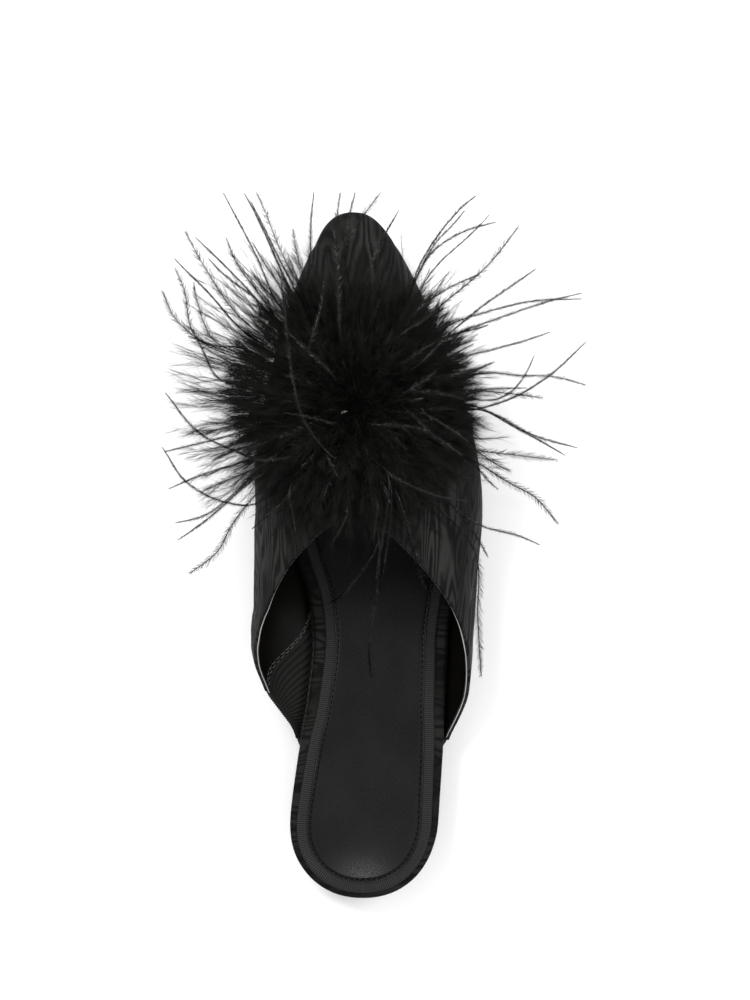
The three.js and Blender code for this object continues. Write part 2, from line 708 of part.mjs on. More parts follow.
function makePompom() {
  const core = new THREE.SphereGeometry(1, 20, 12);
  core.deleteAttribute("normal");
  core.deleteAttribute("uv");
  core.rotateX(Math.PI / 2);
  core.scale(CORE_WIDTH / 2, CORE_LENGTH / 2, CORE_HEIGHT);
  core.translate(...pompomCentre.toArray());
  let solid = solidOf(mergeVertices(core, 1e-4));
  for (const { count, reach, height, offset, thickness } of LOCK_TIERS)
    for (let i = 0; i < count; i++) {
      const wobble = Math.sin(2.4 * i + offset);
      const lock = {
        heading: offset + (360 * i) / count + 5 * wobble,
        reach: LOCK_REACH * reach * (1 + 0.1 * Math.sin(5.1 * i + offset)),
        height: LOCK_HEIGHT * (height + 0.09 * wobble),
        bend: 0.06 * LOCK_REACH * Math.cos(3.3 * i + offset),
      };
      const shape = { thickness: LOCK_THICKNESS * thickness, sides: 5, steps: 3 };
      solid = solid.add(solidOf(spray(lock, shape)));
    }
  const shape = { thickness: PLUME_THICKNESS, sides: 3, steps: 4 };
  for (const { heading, reach, height, bend } of PLUMES) {
    const plume = {
      heading,
      reach: PLUME_REACH * reach,
      height: PLUME_HEIGHT * height,
      bend: PLUME_REACH * bend,
    };
    solid = solid.add(solidOf(spray(plume, shape)));
  }
  solid = solid.subtract(solidOf(vampFilling()));
  const pieces = solid.decompose().sort((a, b) => b.volume() - a.volume());
  return geometryOf(pieces[0]);
}

// Colours and finishes
const silk = { color: 0x1c1b1b, roughness: 0.62, metalness: 0 };
const leather = { color: 0x1b1b1c, roughness: 0.5, metalness: 0 };
const rubber = { color: 0x161616, roughness: 0.7, metalness: 0 };
const ribbon = { color: 0x1f1f20, roughness: 0.6, metalness: 0 };
const elastic = { color: 0x191817, roughness: 0.75, metalness: 0 };
const gloss = { color: 0x8c8c8c, roughness: 0.25, metalness: 0 };
const feather = { color: 0x0e0d0d, roughness: 0.6, metalness: 0 };

const slipper = new THREE.Group();
slipper.name = "marabou_slipper";

function addPiece(name, geometry, finish) {
  const mesh = new THREE.Mesh(geometry, new THREE.MeshStandardMaterial(finish));
  mesh.name = name;
  slipper.add(mesh);
}

addPiece("top_lift", makeHeelPart(0, LIFT_THICKNESS), rubber);
addPiece("heel_block", makeHeelPart(LIFT_THICKNESS + GAP, HEEL_HEIGHT - GAP), leather);
addPiece("outsole", makeSole(), rubber);
addPiece("footbed", makeFootbed(), silk);
addPiece("ribbon_border", makeRibbon(), ribbon);
addPiece("sock_lining", makeSock(), leather);
addPiece("upper", makeUpper(), silk);
addPiece("elastic_gore", makeGore(), elastic);
addPiece("topline_binding", makeBinding(), gloss);
addPiece("feather_pompom", makePompom(), feather);

export default slipper;
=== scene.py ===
"""A black marabou mule seen from above: silk, ribbon, lining, stitches and every feather.

Lengths are millimetres until a mesh is made. +Z is up, +Y points to the toe and -X to the inner
(big toe) side. The upper, the footbed and all that lies on it follow the same tables as the solids.
"""

import math

import bmesh
import bpy
import numpy as np
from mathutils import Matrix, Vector


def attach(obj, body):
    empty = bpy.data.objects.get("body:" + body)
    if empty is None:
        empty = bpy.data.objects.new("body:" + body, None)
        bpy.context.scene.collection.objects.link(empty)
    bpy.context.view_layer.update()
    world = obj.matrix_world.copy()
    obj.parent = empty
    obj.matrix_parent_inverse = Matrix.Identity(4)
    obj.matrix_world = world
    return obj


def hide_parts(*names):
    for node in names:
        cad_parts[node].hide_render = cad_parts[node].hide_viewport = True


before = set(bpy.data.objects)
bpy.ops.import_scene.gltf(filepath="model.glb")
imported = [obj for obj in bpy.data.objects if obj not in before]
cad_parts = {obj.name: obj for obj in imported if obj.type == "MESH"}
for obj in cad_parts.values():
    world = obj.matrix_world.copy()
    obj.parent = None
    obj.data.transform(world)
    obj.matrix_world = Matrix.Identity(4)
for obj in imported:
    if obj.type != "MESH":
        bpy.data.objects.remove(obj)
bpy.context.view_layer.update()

MM = 0.001
TAU = 2 * np.pi

# ---- sizes shared with the solids
LENGTH = 260
HEEL_CENTRE = 30
GAP = 0.3
HEEL_WIDTH = 56.4
WAIST_WIDTH = 50.5
BALL_WIDTH = 74
HEEL_SHIFT = 1.6
ARCH_SHIFT = 5.4
TOE_SHIFT = 5.3
HEEL_ROUND = 31
TOE_ROUND = 12.5
HEEL_LENGTH = 50
LIFT_THICKNESS = 3
HEEL_HEIGHT = 10
HEEL_TAPER = 1.6
SOLE_THICKNESS = 3
SOLE_MARGIN = 2.6
HEEL_SEAT_INSET = 0.8
WAIST_START = 52
BALL_START = 148
TOE_BREAK = 196
TOE_SPRING = 7
FOOTBED_THICKNESS = 5
FOOTBED_EDGE_RADIUS = 1.6
HEEL_CUP = 1.4
HEEL_RIM = 2.4
WAIST_RIM = 4.5
RIBBON_WIDTH = 4.2
RIBBON_THICKNESS = 0.6
RIB_PITCH = 0.8
RIB_DEPTH = 0.13
SOCK_THICKNESS = 1.1
WALL = 2
TOE_OVERHANG = 5.3
INNER_FLARE = 24
OUTER_FLARE = 9.5
INSTEP_HEIGHT = 54
BULGE_HEIGHT = 17
RIDGE_SHIFT = 5
THROAT = 144
WING_END = 60
GORE_TOP = 79
GORE_FRONT = 110
GORE_THICKNESS = 1.1
GORE_DEPTH = 0.5
BULGE_SHARE = 0.16
SECTION_POWER = 1.86
POMPOM_STATION = 182
POMPOM_SHIFT = 5
HEEL_GLOSS = (-0.001, -0.022, 0)  # middle of the glossy place on the sock lining, in metres
SEAM_POWER = 0.6  # keeps the seam of the gore straight as seen from above
CUT_ANGLE = 0.004  # a small step ahead of a cut edge, as an angle along the foot
UV_SCALE = 0.1  # surface coordinates have one unit to 10 mm

# Share of the length; width, as a share of the heel's, waist's or ball's; and how far the middle
# lies towards the outer side, as a share of the heel's, arch's or toe's shift
FOOTBED_SHARES = [
    (0, 1, -1), (0.06, 1, -1), (0.11, 0.997, -0.68), (0.133, 0.995, -0.45), (0.18, 0.982, 0.08),
    (0.228, 0.962, 0.32), (0.294, 1.02, 0.66), (0.377, 1, 0.96), (0.436, 1.063, 1),
    (0.503, 0.835, 0.8), (0.569, 0.939, 0.57), (0.628, 1, 0.16), (0.687, 0.958, -0.04),
    (0.746, 0.87, -0.21), (0.815, 0.72, -0.48), (0.86, 0.612, -0.6), (0.903, 0.495, -0.72),
    (0.95, 0.338, -0.83), (0.965, 0.278, -0.86), (1, 0.22, -1),
]
WIDTHS = np.repeat([HEEL_WIDTH, WAIST_WIDTH, BALL_WIDTH], [6, 3, 11])
SHIFTS = np.repeat([HEEL_SHIFT, ARCH_SHIFT, TOE_SHIFT], [4, 8, 8])
FOOTBED_SECTIONS = [
    (at, share * width, part * shift)
    for (at, share, part), width, shift in zip(FOOTBED_SHARES, WIDTHS, SHIFTS)
]
# Share of the length, and share of the way from the toe's overhang to the waist's flare
FLARE_SECTIONS = [
    (0, 0.4, 0.36), (0.235, 0.24, 0.65), (0.27, 0.43, 0.73), (0.3, 0.6, 0.83), (0.345, 0.9, 0.955),
    (0.377, 0.98, 1), (0.407, 0.97, 0.955), (0.436, 0.9, 0.825), (0.47, 0.8, 0.65),
    (0.503, 0.62, 0.43), (0.569, 0.33, 0.15), (0.628, 0.07, 0.02), (0.687, 0, 0), (1, 0, 0),
]
# Share of the length, ridge height as a share of the instep's, widest line's of the ball's
HEIGHT_SECTIONS = [
    (0.2, 1.1, 0.74), (0.3, 1.12, 0.8), (0.385, 1.12, 0.94), (0.48, 1.06, 1), (0.566, 1, 1),
    (0.628, 0.9, 0.92), (0.707, 0.765, 0.74), (0.785, 0.632, 0.62), (0.864, 0.508, 0.53),
    (0.942, 0.385, 0.44), (1, 0.315, 0.38),
]
# Share of the way from wing end to throat, and of the height there, inner and outer side
TOPLINE_SECTIONS = [
    (-0.3, -0.1, -0.15), (0, 0, 0), (0.12, 0.11, 0.12), (0.23, 0.25, 0.27), (0.34, 0.39, 0.42),
    (0.45, 0.52, 0.55), (0.57, 0.64, 0.7), (0.75, 0.8, 0.88), (0.88, 0.915, 0.96), (1, 1, 1),
    (1.4, 1.5, 1.5),
]


# ---- surfaces of the shoe
def hermite(at, values, slopes, place):
    """The cubic through knots with their slopes."""
    i = np.clip(np.searchsorted(at, place) - 1, 0, len(at) - 2)
    span = at[i + 1] - at[i]
    t = (place - at[i]) / span
    return (
        values[i] * (1 + 2 * t) * (1 - t) ** 2
        + values[i + 1] * (3 - 2 * t) * t**2
        + span * slopes[i] * t * (1 - t) ** 2
        - span * slopes[i + 1] * t**2 * (1 - t)
    )


def curve(rows, column):
    """A smooth function through one column of a table, with no overshoot."""
    at, value = (np.array([row[c] for row in rows], float) for c in (0, column))
    steep = np.diff(value) / np.diff(at)
    left, right = steep[:-1], steep[1:]
    same = left * right > 0
    slope = np.zeros(len(at))
    slope[1:-1][same] = 2 * left[same] * right[same] / (left[same] + right[same])
    return lambda place: hermite(at, value, slope, np.clip(place, at[0], at[-1]))


def lerp(a, b, t):
    return a + (b - a) * t


def smoothstep(x, low, high):
    t = np.clip((x - low) / (high - low), 0, 1)
    return t * t * (3 - 2 * t)


def round_end(distance, length, power):
    return (1 - np.maximum(0, 1 - distance / length) ** power) ** (1 / power)


footbed_length = LENGTH - TOE_OVERHANG
footbed_width, footbed_centre = (curve(FOOTBED_SECTIONS, column) for column in (1, 2))
inner_flare, outer_flare = (curve(FLARE_SECTIONS, column) for column in (1, 2))
ridge_share, bulge_share = (curve(HEIGHT_SECTIONS, column) for column in (1, 2))
inner_rise, outer_rise = (curve(TOPLINE_SECTIONS, column) for column in (1, 2))


def in_frame(x, station, z):
    """Points with the middle of the heel at y = 0."""
    return np.stack([x, station - HEEL_CENTRE, z], -1)


def footbed_point(angle):
    """The outline: 0 at the heel's back, up the inner side to pi at the toe, back on the outer."""
    angle = np.asarray(angle, float)
    along = (1 - np.cos(angle)) / 2
    station = along * footbed_length
    ends = round_end(station, HEEL_ROUND, 2.15)
    ends = ends * round_end(footbed_length - station, TOE_ROUND, 2.5)
    side = np.where(np.sin(angle) >= 0, -1, 1)
    return footbed_centre(along) + side * footbed_width(along) / 2 * ends, station


def outline(angle, grow):
    step = 0.01
    x, y = footbed_point(angle)
    x1, y1 = footbed_point(angle + step)
    x0, y0 = footbed_point(angle - step)
    dx, dy = x1 - x0, y1 - y0
    size = np.hypot(dx, dy)
    return x - dy / size * grow, y + dx / size * grow


def angle_at(station):
    return np.arccos(1 - 2 * np.clip(station / footbed_length, 0, 1))


def sole_bottom(station):
    waist = 1 - smoothstep(station, WAIST_START, BALL_START)
    toe = np.maximum(0, (station - TOE_BREAK) / (LENGTH - TOE_BREAK))
    return HEEL_HEIGHT * waist + TOE_SPRING * toe**1.8


def sole_top(station):
    return sole_bottom(station) + SOLE_THICKNESS


def footbed_top(x, station):
    along = station / footbed_length
    across = (x - footbed_centre(along)) / (footbed_width(along) / 2)
    cup = HEEL_CUP * across**2 * (1 - smoothstep(station, HEEL_LENGTH, BALL_START))
    return sole_top(station) + GAP + FOOTBED_THICKNESS + cup


def rim_width(angle):
    return lerp(HEEL_RIM, WAIST_RIM, smoothstep(footbed_point(angle)[1], 0, GORE_FRONT))


def upper_point(angle, share, depth):
    """The upper: share round the foot is 0 at the inner sole, 0.5 on the ridge, 1 outside.

    A cubic curve leads from the sole to the widest line, and part of a superellipse over the top.
    """
    angle, share, depth = np.broadcast_arrays(angle, share, depth)
    inner = share <= 0.5
    girth = np.where(inner, share, 1 - share)
    walked = np.where(inner, angle, TAU - angle)
    along = (1 - np.cos(angle)) / 2
    flare = np.where(
        inner,
        lerp(TOE_OVERHANG, INNER_FLARE, inner_flare(along)),
        lerp(TOE_OVERHANG, OUTER_FLARE, outer_flare(along)),
    )
    foot_x, foot_y = outline(walked, GAP + WALL - depth)
    wide_x, wide_y = outline(walked, flare - depth)
    other_y = outline(TAU - walked, flare - depth)[1]
    nose = round_end(footbed_length - along * footbed_length, 2 * TOE_ROUND, 2.5)
    bulge = sole_top(wide_y) + BULGE_HEIGHT * bulge_share(along)
    ridge = sole_top(wide_y) + INSTEP_HEIGHT * ridge_share(along)
    foot = np.stack([foot_x, foot_y, sole_top(foot_y) + GAP], -1)
    wide = np.stack([wide_x, wide_y, bulge], -1)
    rise = wide - foot
    t = np.clip(girth / BULGE_SHARE, 0, 1)[..., None]
    below = (
        (1 - t) ** 3 * foot
        + 3 * t * (1 - t) ** 2 * (foot + rise * [0.45, 0.45, 0.25])
        + 3 * t**2 * (1 - t) * (wide - rise * [0, 0, 0.45])
        + t**3 * wide
    )
    turn = np.clip((girth - BULGE_SHARE) / (0.5 - BULGE_SHARE), 0, 1) * np.pi / 2
    out = np.maximum(0, np.cos(turn)) ** (2 / SECTION_POWER)
    up = np.sin(turn) ** (2 / SECTION_POWER)
    top = lerp(bulge, ridge, nose) - depth * nose
    x = lerp(lerp(-TOE_SHIFT, -RIDGE_SHIFT, nose), wide_x, out)
    above = np.stack([x, lerp((wide_y + other_y) / 2, wide_y, out), lerp(bulge, top, up)], -1)
    return np.where((girth <= BULGE_SHARE)[..., None], below, above) - [0, HEEL_CENTRE, 0]


def topline_height(station, inner):
    forward = (station - WING_END) / (THROAT - WING_END)
    low = sole_top(WING_END) + GAP
    high = upper_point(angle_at(THROAT), 0.5, 0)[2]
    return lerp(low, high, np.where(inner, inner_rise(forward), outer_rise(forward)))


def root_between(low, high, above):
    for _ in range(36):
        middle = (low + high) / 2
        over = above(middle)
        high = np.where(over, middle, high)
        low = np.where(over, low, middle)
    return (low + high) / 2


def topline_angle(share):
    """The angle at which the topline crosses the surface."""
    share = np.asarray(share, float)

    def past(angle):
        p = upper_point(angle, share, 0)
        return p[..., 2] < topline_height(p[..., 1] + HEEL_CENTRE, share < 0.5)

    start = np.full(share.shape, angle_at(WING_END - 8))
    found = root_between(start, np.full(share.shape, angle_at(THROAT + 12)), past)
    return np.where((share <= 0) | (share >= 1), angle_at(WING_END), found)


gore_top_share = float(
    root_between(
        np.array(0.01),
        np.array(BULGE_SHARE),
        lambda s: upper_point(topline_angle(s), s, 0)[..., 1] + HEEL_CENTRE > GORE_TOP,
    )
)


def seam_angle(share):
    top = topline_angle(np.array(gore_top_share))
    return lerp(angle_at(GORE_FRONT), top, np.maximum(0, share / gore_top_share) ** SEAM_POWER)


def upper_start(share):
    return np.where(share < gore_top_share, seam_angle(share), topline_angle(share))


# ---- meshes
def add_mesh(name, points, quads, tris=(), uv=None, stuff=None, slot=None, node=None, sharp=0):
    """A smooth mesh piece from arrays of points in mm, faces and one UV for each point.

    It stands for a node of the solids. With a sharp angle, in degrees, points that coincide are
    joined and only corners above it stay sharp.
    """
    quads = np.asarray(quads, np.int32).reshape(-1, 4)
    tris = np.asarray(tris, np.int32).reshape(-1, 3)
    points = np.asarray(points, np.float32).reshape(-1, 3)
    corners = np.append(quads, tris)
    counts = np.repeat([4, 3], [len(quads), len(tris)])
    mesh = bpy.data.meshes.new(name)
    mesh.vertices.add(len(points))
    mesh.vertices.foreach_set("co", (points * MM).ravel())
    mesh.loops.add(len(corners))
    mesh.loops.foreach_set("vertex_index", corners)
    mesh.polygons.add(len(counts))
    mesh.polygons.foreach_set("loop_start", (np.cumsum(counts) - counts).astype(np.int32))
    mesh.update(calc_edges=True)
    if uv is not None:
        layer = mesh.uv_layers.new(name="surface")
        layer.data.foreach_set("uv", np.asarray(uv, np.float32).reshape(-1, 2)[corners].ravel())
    mesh.validate()
    mesh.shade_smooth()
    mesh.materials.append(stuff)
    piece = bpy.data.objects.new(name, mesh)
    bpy.context.collection.objects.link(piece)
    if sharp:
        weld(mesh, sharp)
    if slot:
        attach(piece, "root")
    if node:
        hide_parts(node)
    return piece


def weld(mesh, sharp):
    made = bmesh.new()
    made.from_mesh(mesh)
    bmesh.ops.remove_doubles(made, verts=made.verts, dist=2e-6)
    bmesh.ops.recalc_face_normals(made, faces=made.faces)
    made.to_mesh(mesh)
    made.free()
    mesh.shade_smooth()
    mesh.set_sharp_from_angle(angle=math.radians(sharp))


def grid_quads(rows, columns, start=0, wrap=False):
    """Faces of a grid of rows x columns points; wrap closes the columns on themselves."""
    i, j = np.meshgrid(np.arange(rows - 1), np.arange(columns - (not wrap)), indexing="ij")
    near, far = i * columns, (i + 1) * columns
    k = (j + 1) % columns
    return np.stack([near + j, near + k, far + k, far + j], -1).reshape(-1, 4) + start


def unit(v):
    return v / np.maximum(np.linalg.norm(v, axis=-1, keepdims=True), 1e-9)


def walk(path):
    """The length walked along a path at each of its points."""
    return np.append(0, np.cumsum(np.linalg.norm(np.diff(path, axis=0), axis=-1)))


def slab(rings, end=footbed_length, rows=150, columns=16):
    """Points, faces and UVs of a flat piece of the bottom, from rings of (grow, height)."""
    angles = np.linspace(0, float(angle_at(end)), rows + 1)
    trip = np.append(angles, TAU - angles[::-1])
    rings = [(*outline(trip, grow(trip)), height) for grow, height in rings]
    points = [in_frame(x, y, height(x, y)) for x, y, height in rings]
    quads = [grid_quads(len(rings), len(trip), wrap=True)]
    t = np.linspace(0, 1, columns + 1)[None, :, None]
    for (x, y, height), order in ((rings[0], -1), (rings[-1], 1)):
        inner, outer = np.stack([x, y], -1).reshape(2, rows + 1, 1, 2)
        across, along = np.moveaxis(inner * (1 - t) + outer[::-1] * t, -1, 0)
        quads.append(grid_quads(rows + 1, columns + 1, sum(map(len, points)))[:, ::order])
        points.append(in_frame(across, along, height(across, along)).reshape(-1, 3))
    points = np.concatenate(points)
    return points, np.concatenate(quads), (), points[:, :2] * UV_SCALE


def ribbons(paths, widths, facing):
    """Thin ribbons along paths (n, k, 3), of widths (n, k), flat towards facing (n, 3)."""
    n, k, _ = paths.shape
    ahead = unit(np.gradient(paths, axis=1))
    across = unit(np.cross(ahead, facing[:, None, :])) * widths[..., None] / 2
    points = np.stack([paths - across, paths + across], 2)  # (n, k, 2, 3)
    points = np.concatenate([points[:, :-1].reshape(n, -1, 3), paths[:, -1:]], 1)
    each = 2 * (k - 1) + 1
    base = (np.arange(n) * each)[:, None]
    i = base + 2 * np.arange(k - 2)
    quads = np.stack([i, i + 1, i + 3, i + 2], -1)
    return points, quads, base + [each - 3, each - 2, each - 1]


def tubes(paths, radii, sides):
    """Round strands along paths (n, k, 3) with radii (n, k)."""
    n, k, _ = paths.shape
    ahead = unit(np.gradient(paths, axis=1))
    flat = unit(np.cross(ahead, np.array([0.02, 0.01, 1.0])))
    normal = np.cross(flat, ahead)
    turn = (np.arange(sides) * TAU / sides)[:, None]
    ring = np.cos(turn) * flat[..., None, :] + np.sin(turn) * normal[..., None, :]
    points = paths[:, :, None, :] + radii[:, :, None, None] * ring
    base = np.arange(n)[:, None, None] * (k * sides)
    return points, grid_quads(k, sides, wrap=True) + base


# ---- materials
class Shader:
    """A material, with short ways to add and join the nodes that feed its shader."""

    def __init__(self, name, color, roughness, gloss=0.5, sheen=0.0):
        self.material = bpy.data.materials.new(name)
        self.material.use_nodes = True
        self.tree = self.material.node_tree
        self.set(Base_Color=(*color, 1), Roughness=roughness)
        self.set(Specular_IOR_Level=gloss, Sheen_Weight=sheen)

    def feed(self, target, value):
        if isinstance(value, bpy.types.NodeSocket):
            self.tree.links.new(value, target)
        else:
            target.default_value = value

    def set(self, **sockets):
        shader = self.tree.nodes["Principled BSDF"]
        for name, value in sockets.items():
            self.feed(shader.inputs[name.replace("_", " ")], value)
        return self.material

    def node(self, kind, *values, out=0, **named):
        """One output of a new node: values feed its first inputs, capitalised names the others."""
        made = self.tree.nodes.new("ShaderNode" + kind)
        for name, value in named.items():
            if name[0].isupper():
                self.feed(made.inputs[name], value)
            else:
                setattr(made, name, value)
        for target, value in zip(made.inputs, values):
            self.feed(target, value)
        return made.outputs[out]

    def math(self, operation, *values):
        return self.node("Math", *values, operation=operation)

    def mix(self, *parts):
        """The sum of values times their weights."""
        total = 0.0
        for value, weight in parts:
            total = self.math("MULTIPLY_ADD", value, weight, total)
        return total

    def scaled(self, vector, scale):
        return self.node("VectorMath", vector, scale, operation="MULTIPLY")

    def noise(self, vector, scale, detail=2.0, roughness=0.5):
        place = self.scaled(vector, scale)
        return self.node("TexNoise", place, out="Fac", Scale=1, Detail=detail, Roughness=roughness)

    def ramp(self, value, low, high, to_low=0.0, to_high=1.0, smooth=True):
        kind = "SMOOTHSTEP" if smooth else "LINEAR"
        return self.node("MapRange", value, low, high, to_low, to_high, interpolation_type=kind)

    def colours(self, value, low, high):
        ends = {"A": (*low, 1), "B": (*high, 1)}
        return self.node("Mix", out="Result", data_type="RGBA", Factor=value, **ends)

    def bump(self, height, distance, strength=0.5):
        return self.node("Bump", Strength=strength, Distance=distance, Height=height)

    def uv(self):
        return self.node("UVMap", uv_map="surface")

    def uv_axis(self, axis):
        return self.node("SeparateXYZ", self.uv(), out=axis)

    def waves(self, axis, pitch):
        """A sine along one surface direction, with its pitch in mm."""
        return self.math("SINE", self.math("MULTIPLY", self.uv_axis(axis), TAU / UV_SCALE / pitch))

    def place(self):
        """The place on the object, one unit to 1 m."""
        return self.node("TexCoord", out="Object")


def watered_silk(name, dark, light, figure_size, line_edges, across=0):
    """Ribbed silk whose pressed ribs make long wavy figures along one surface direction."""
    t = Shader(name, dark, 0.5, gloss=0.02)
    flat = t.node("CombineXYZ", t.uv_axis(across), t.uv_axis(1 - across))
    # Level lines of a slow, stretched height make nested loops and long streaks
    slow = t.noise(flat, (0.5 / figure_size, 0.11 / figure_size, 1), 1.0, 0.4)
    wobble = t.noise(flat, (2.6 / figure_size, 0.5 / figure_size, 1), 2.0, 0.55)
    line = t.ramp(t.math("SINE", t.mix((slow, 84), (wobble, 4.5))), *line_edges)
    patch = t.ramp(t.noise(flat, (0.5, 0.14, 1), 1.0), 0.36, 0.62, 0.3)
    threads = t.noise(flat, (26, 3, 1), 2.0, 0.6)
    figure = t.mix((t.math("MULTIPLY", line, patch), 0.8), (threads, 0.36))
    figure = t.ramp(figure, 0.12, 1, smooth=False)
    # The ribs also lighten and darken the colour a little: painted shade between the ribs
    ribs = t.waves(1 - across, 0.55)
    return t.set(
        Base_Color=t.colours(t.mix((figure, 1), (ribs, 0.08)), dark, light),
        Roughness=t.ramp(figure, 0, 1, 0.62, 0.42),
        Normal=t.bump(t.mix((ribs, 0.5), (figure, 0.8)), 0.00007, 0.6),
    )


def plain_material(name, color, roughness, gloss=0.18, grain=18.0, depth=0.00006):
    """Rubber, leather or thread: a colour that varies a little, with grain."""
    t = Shader(name, color, roughness, gloss)
    place = t.place()
    cloud = t.ramp(t.noise(place, (60, 60, 60)), 0.3, 0.7)
    low, high = (tuple(c * k for c in color) for k in (0.8, 1.25))
    return t.set(
        Base_Color=t.colours(cloud, low, high),
        Roughness=t.ramp(cloud, 0, 1, roughness * 0.9, roughness * 1.12, smooth=False),
        Normal=t.bump(t.noise(place, (grain * 100,) * 3, 3.0, 0.6), depth),
    )


def feather_material(name, root, tip, roughness, gloss):
    """Barbs: darker and lighter strands by place, with a soft gloss."""
    t = Shader(name, root, roughness, gloss)
    tone = t.ramp(t.noise(t.place(), (260, 260, 260), 3.0, 0.6), 0.3, 0.75)
    rough = t.ramp(tone, 0, 1, roughness, roughness * 0.8, smooth=False)
    return t.set(Base_Color=t.colours(tone, root, tip), Roughness=rough)


silk = watered_silk(
    "watered_silk", (0.0048, 0.0046, 0.0044), (0.0248, 0.0241, 0.0235), 0.65, (-1, 1)
)
rim_silk = watered_silk(
    "rim_silk", (0.0038, 0.0037, 0.0034), (0.015, 0.0145, 0.0137), 0.7, (-1.2, 0.7), across=1
)

t = Shader("lining", (0.003, 0.0028, 0.0024), 0.4, gloss=0.03)
soft = t.noise(t.uv(), (0.5, 0.3, 1))
height = t.mix((soft, 6), (t.noise(t.uv(), (30, 30, 1)), 0.25))
lining = t.set(Roughness=t.ramp(soft, 0.3, 0.7, 0.28, 0.45), Normal=t.bump(height, 0.0001))

# Smooth dark leather, worn glossier in the middle of the heel
t = Shader("sock_leather", (0.006,) * 3, 0.36, gloss=0.09)
grain = t.noise(t.uv(), (22, 22, 1), 3.0, 0.6)
tone = t.ramp(t.mix((t.noise(t.uv(), (0.7, 0.5, 1), 3.0), 0.3), (grain, 1)), 0.48, 0.82)
offset = t.node("VectorMath", t.place(), HEEL_GLOSS, operation="SUBTRACT")
worn = t.scaled(offset, (1 / 0.017, 1 / 0.011, 0))
away = t.node("VectorMath", worn, out="Value", operation="LENGTH")
sock_leather = t.set(
    Base_Color=t.colours(tone, (0.0008, 0.0008, 0.0009), (0.0084, 0.0084, 0.0085)),
    Roughness=t.mix((t.ramp(away, 0, 1.6, 0.17, 0.37), 1), (grain, 0.03)),
    Normal=t.bump(grain, 0.00004),
)

t = Shader("grosgrain", (0.014,) * 3, 0.5, gloss=0.14, sheen=0.035)
threads = t.noise(t.uv(), (24, 60, 1))
# The colour grows lighter and darker with each rib: painted shade of the grooves between the ribs
tone = t.ramp(t.mix((t.waves(0, RIB_PITCH), 0.35), (threads, 1)), 0.1, 0.95)
grosgrain = t.set(
    Base_Color=t.colours(tone, (0.0035,) * 3, (0.0235, 0.023, 0.0235)),
    Normal=t.bump(threads, 0.00005),
)

t = Shader("elastic", (0.006, 0.0058, 0.0054), 0.62, gloss=0.1, sheen=0.02)
# Rib tops painted lighter and the grooves between them darker: painted shade of the grooves
painted_rib_shade = t.math("ABSOLUTE", t.math("COSINE", t.math("MULTIPLY", t.uv_axis(1), math.pi)))
threads = t.noise(t.uv(), (9, 7, 1), 3.0, 0.65)
tone = t.ramp(t.mix((painted_rib_shade, 0.5), (threads, 0.65)), 0.3, 1)
elastic = t.set(
    Base_Color=t.colours(tone, (0.0018, 0.0017, 0.0015), (0.0116, 0.0112, 0.0105)),
    Normal=t.bump(threads, 0.00012, 0.6),
)

sole_leather = plain_material("sole_leather", (0.009, 0.0086, 0.0082), 0.5)
heel_cover = plain_material("heel_cover", (0.0075, 0.0073, 0.0071), 0.42)
rubber = plain_material("rubber", (0.009,) * 3, 0.7)
# Light grey seam thread: partly a painted highlight, lighter than the dark stitches are, to show
# their glints
thread = plain_material("thread", (0.06, 0.06, 0.056), 0.3, 0.3, 60)
# Near-black sock thread, darker than the leather: partly the thread's own colour, partly painted
# shade of the stitch holes
dark_thread = plain_material("dark_thread", (0.0015, 0.0015, 0.0014), 0.5, 0.05, 60)
# Lighter grey of the sock's cut edge: partly its own colour, partly a painted highlight
cut_edge_and_highlight = plain_material("cut_edge_and_highlight", (0.03,) * 3, 0.4, 0.2, 60)
bright_thread = plain_material("bright_thread", (0.3,) * 3, 0.25, 0.5, 60, 0.00002)
down = feather_material(
    "marabou_down", (0.0018, 0.0017, 0.0014), (0.0083, 0.0079, 0.0069), 0.6, 0.1
)
plume = feather_material(
    "ostrich_plume", (0.0012, 0.0011, 0.001), (0.0095, 0.009, 0.0078), 0.25, 0.16
)
quill = feather_material("quill", (0.03, 0.028, 0.026), (0.11, 0.106, 0.1), 0.3, 0.4)


# ---- sole, heel and footbed
def sole_grow(angle):
    start, end = WING_END - 2 * SOLE_MARGIN, WING_END + SOLE_MARGIN
    return lerp(-HEEL_SEAT_INSET, SOLE_MARGIN, smoothstep(footbed_point(angle)[1], start, end))


def rings_from(profile, grow, height):
    """Rings of a slab from how far back its edge lies at each, and how high."""
    return [
        (lambda a, back=back: grow(a) - back, lambda x, s, up=up: height(x, s) + up)
        for back, up in profile
    ]


def make_sole():
    edge, soft, top = SOLE_THICKNESS / 4, 0.2, SOLE_THICKNESS
    profile = (edge, 0), (0.3 * edge, 0.3 * edge), (0, edge), (0, top - soft), (soft, top)
    rings = rings_from(profile, sole_grow, lambda x, s: sole_bottom(s))
    add_mesh("outsole_skin", *slab(rings), sole_leather, "sole_leather", "outsole", 50)


def make_heel_part(name, node, bottom, top, stuff, slot):
    soft = 0.35
    low, high = (HEEL_SEAT_INSET + HEEL_TAPER * (1 - z / HEEL_HEIGHT) for z in (bottom, top))
    profile = (low + soft, bottom), (low, bottom + soft), (high, top - soft), (high + soft, top)
    rings = rings_from(profile, lambda a: 0, lambda x, s: 0 * s)
    add_mesh(name, *slab(rings, HEEL_LENGTH, 90, 8), stuff, slot, node, 40)


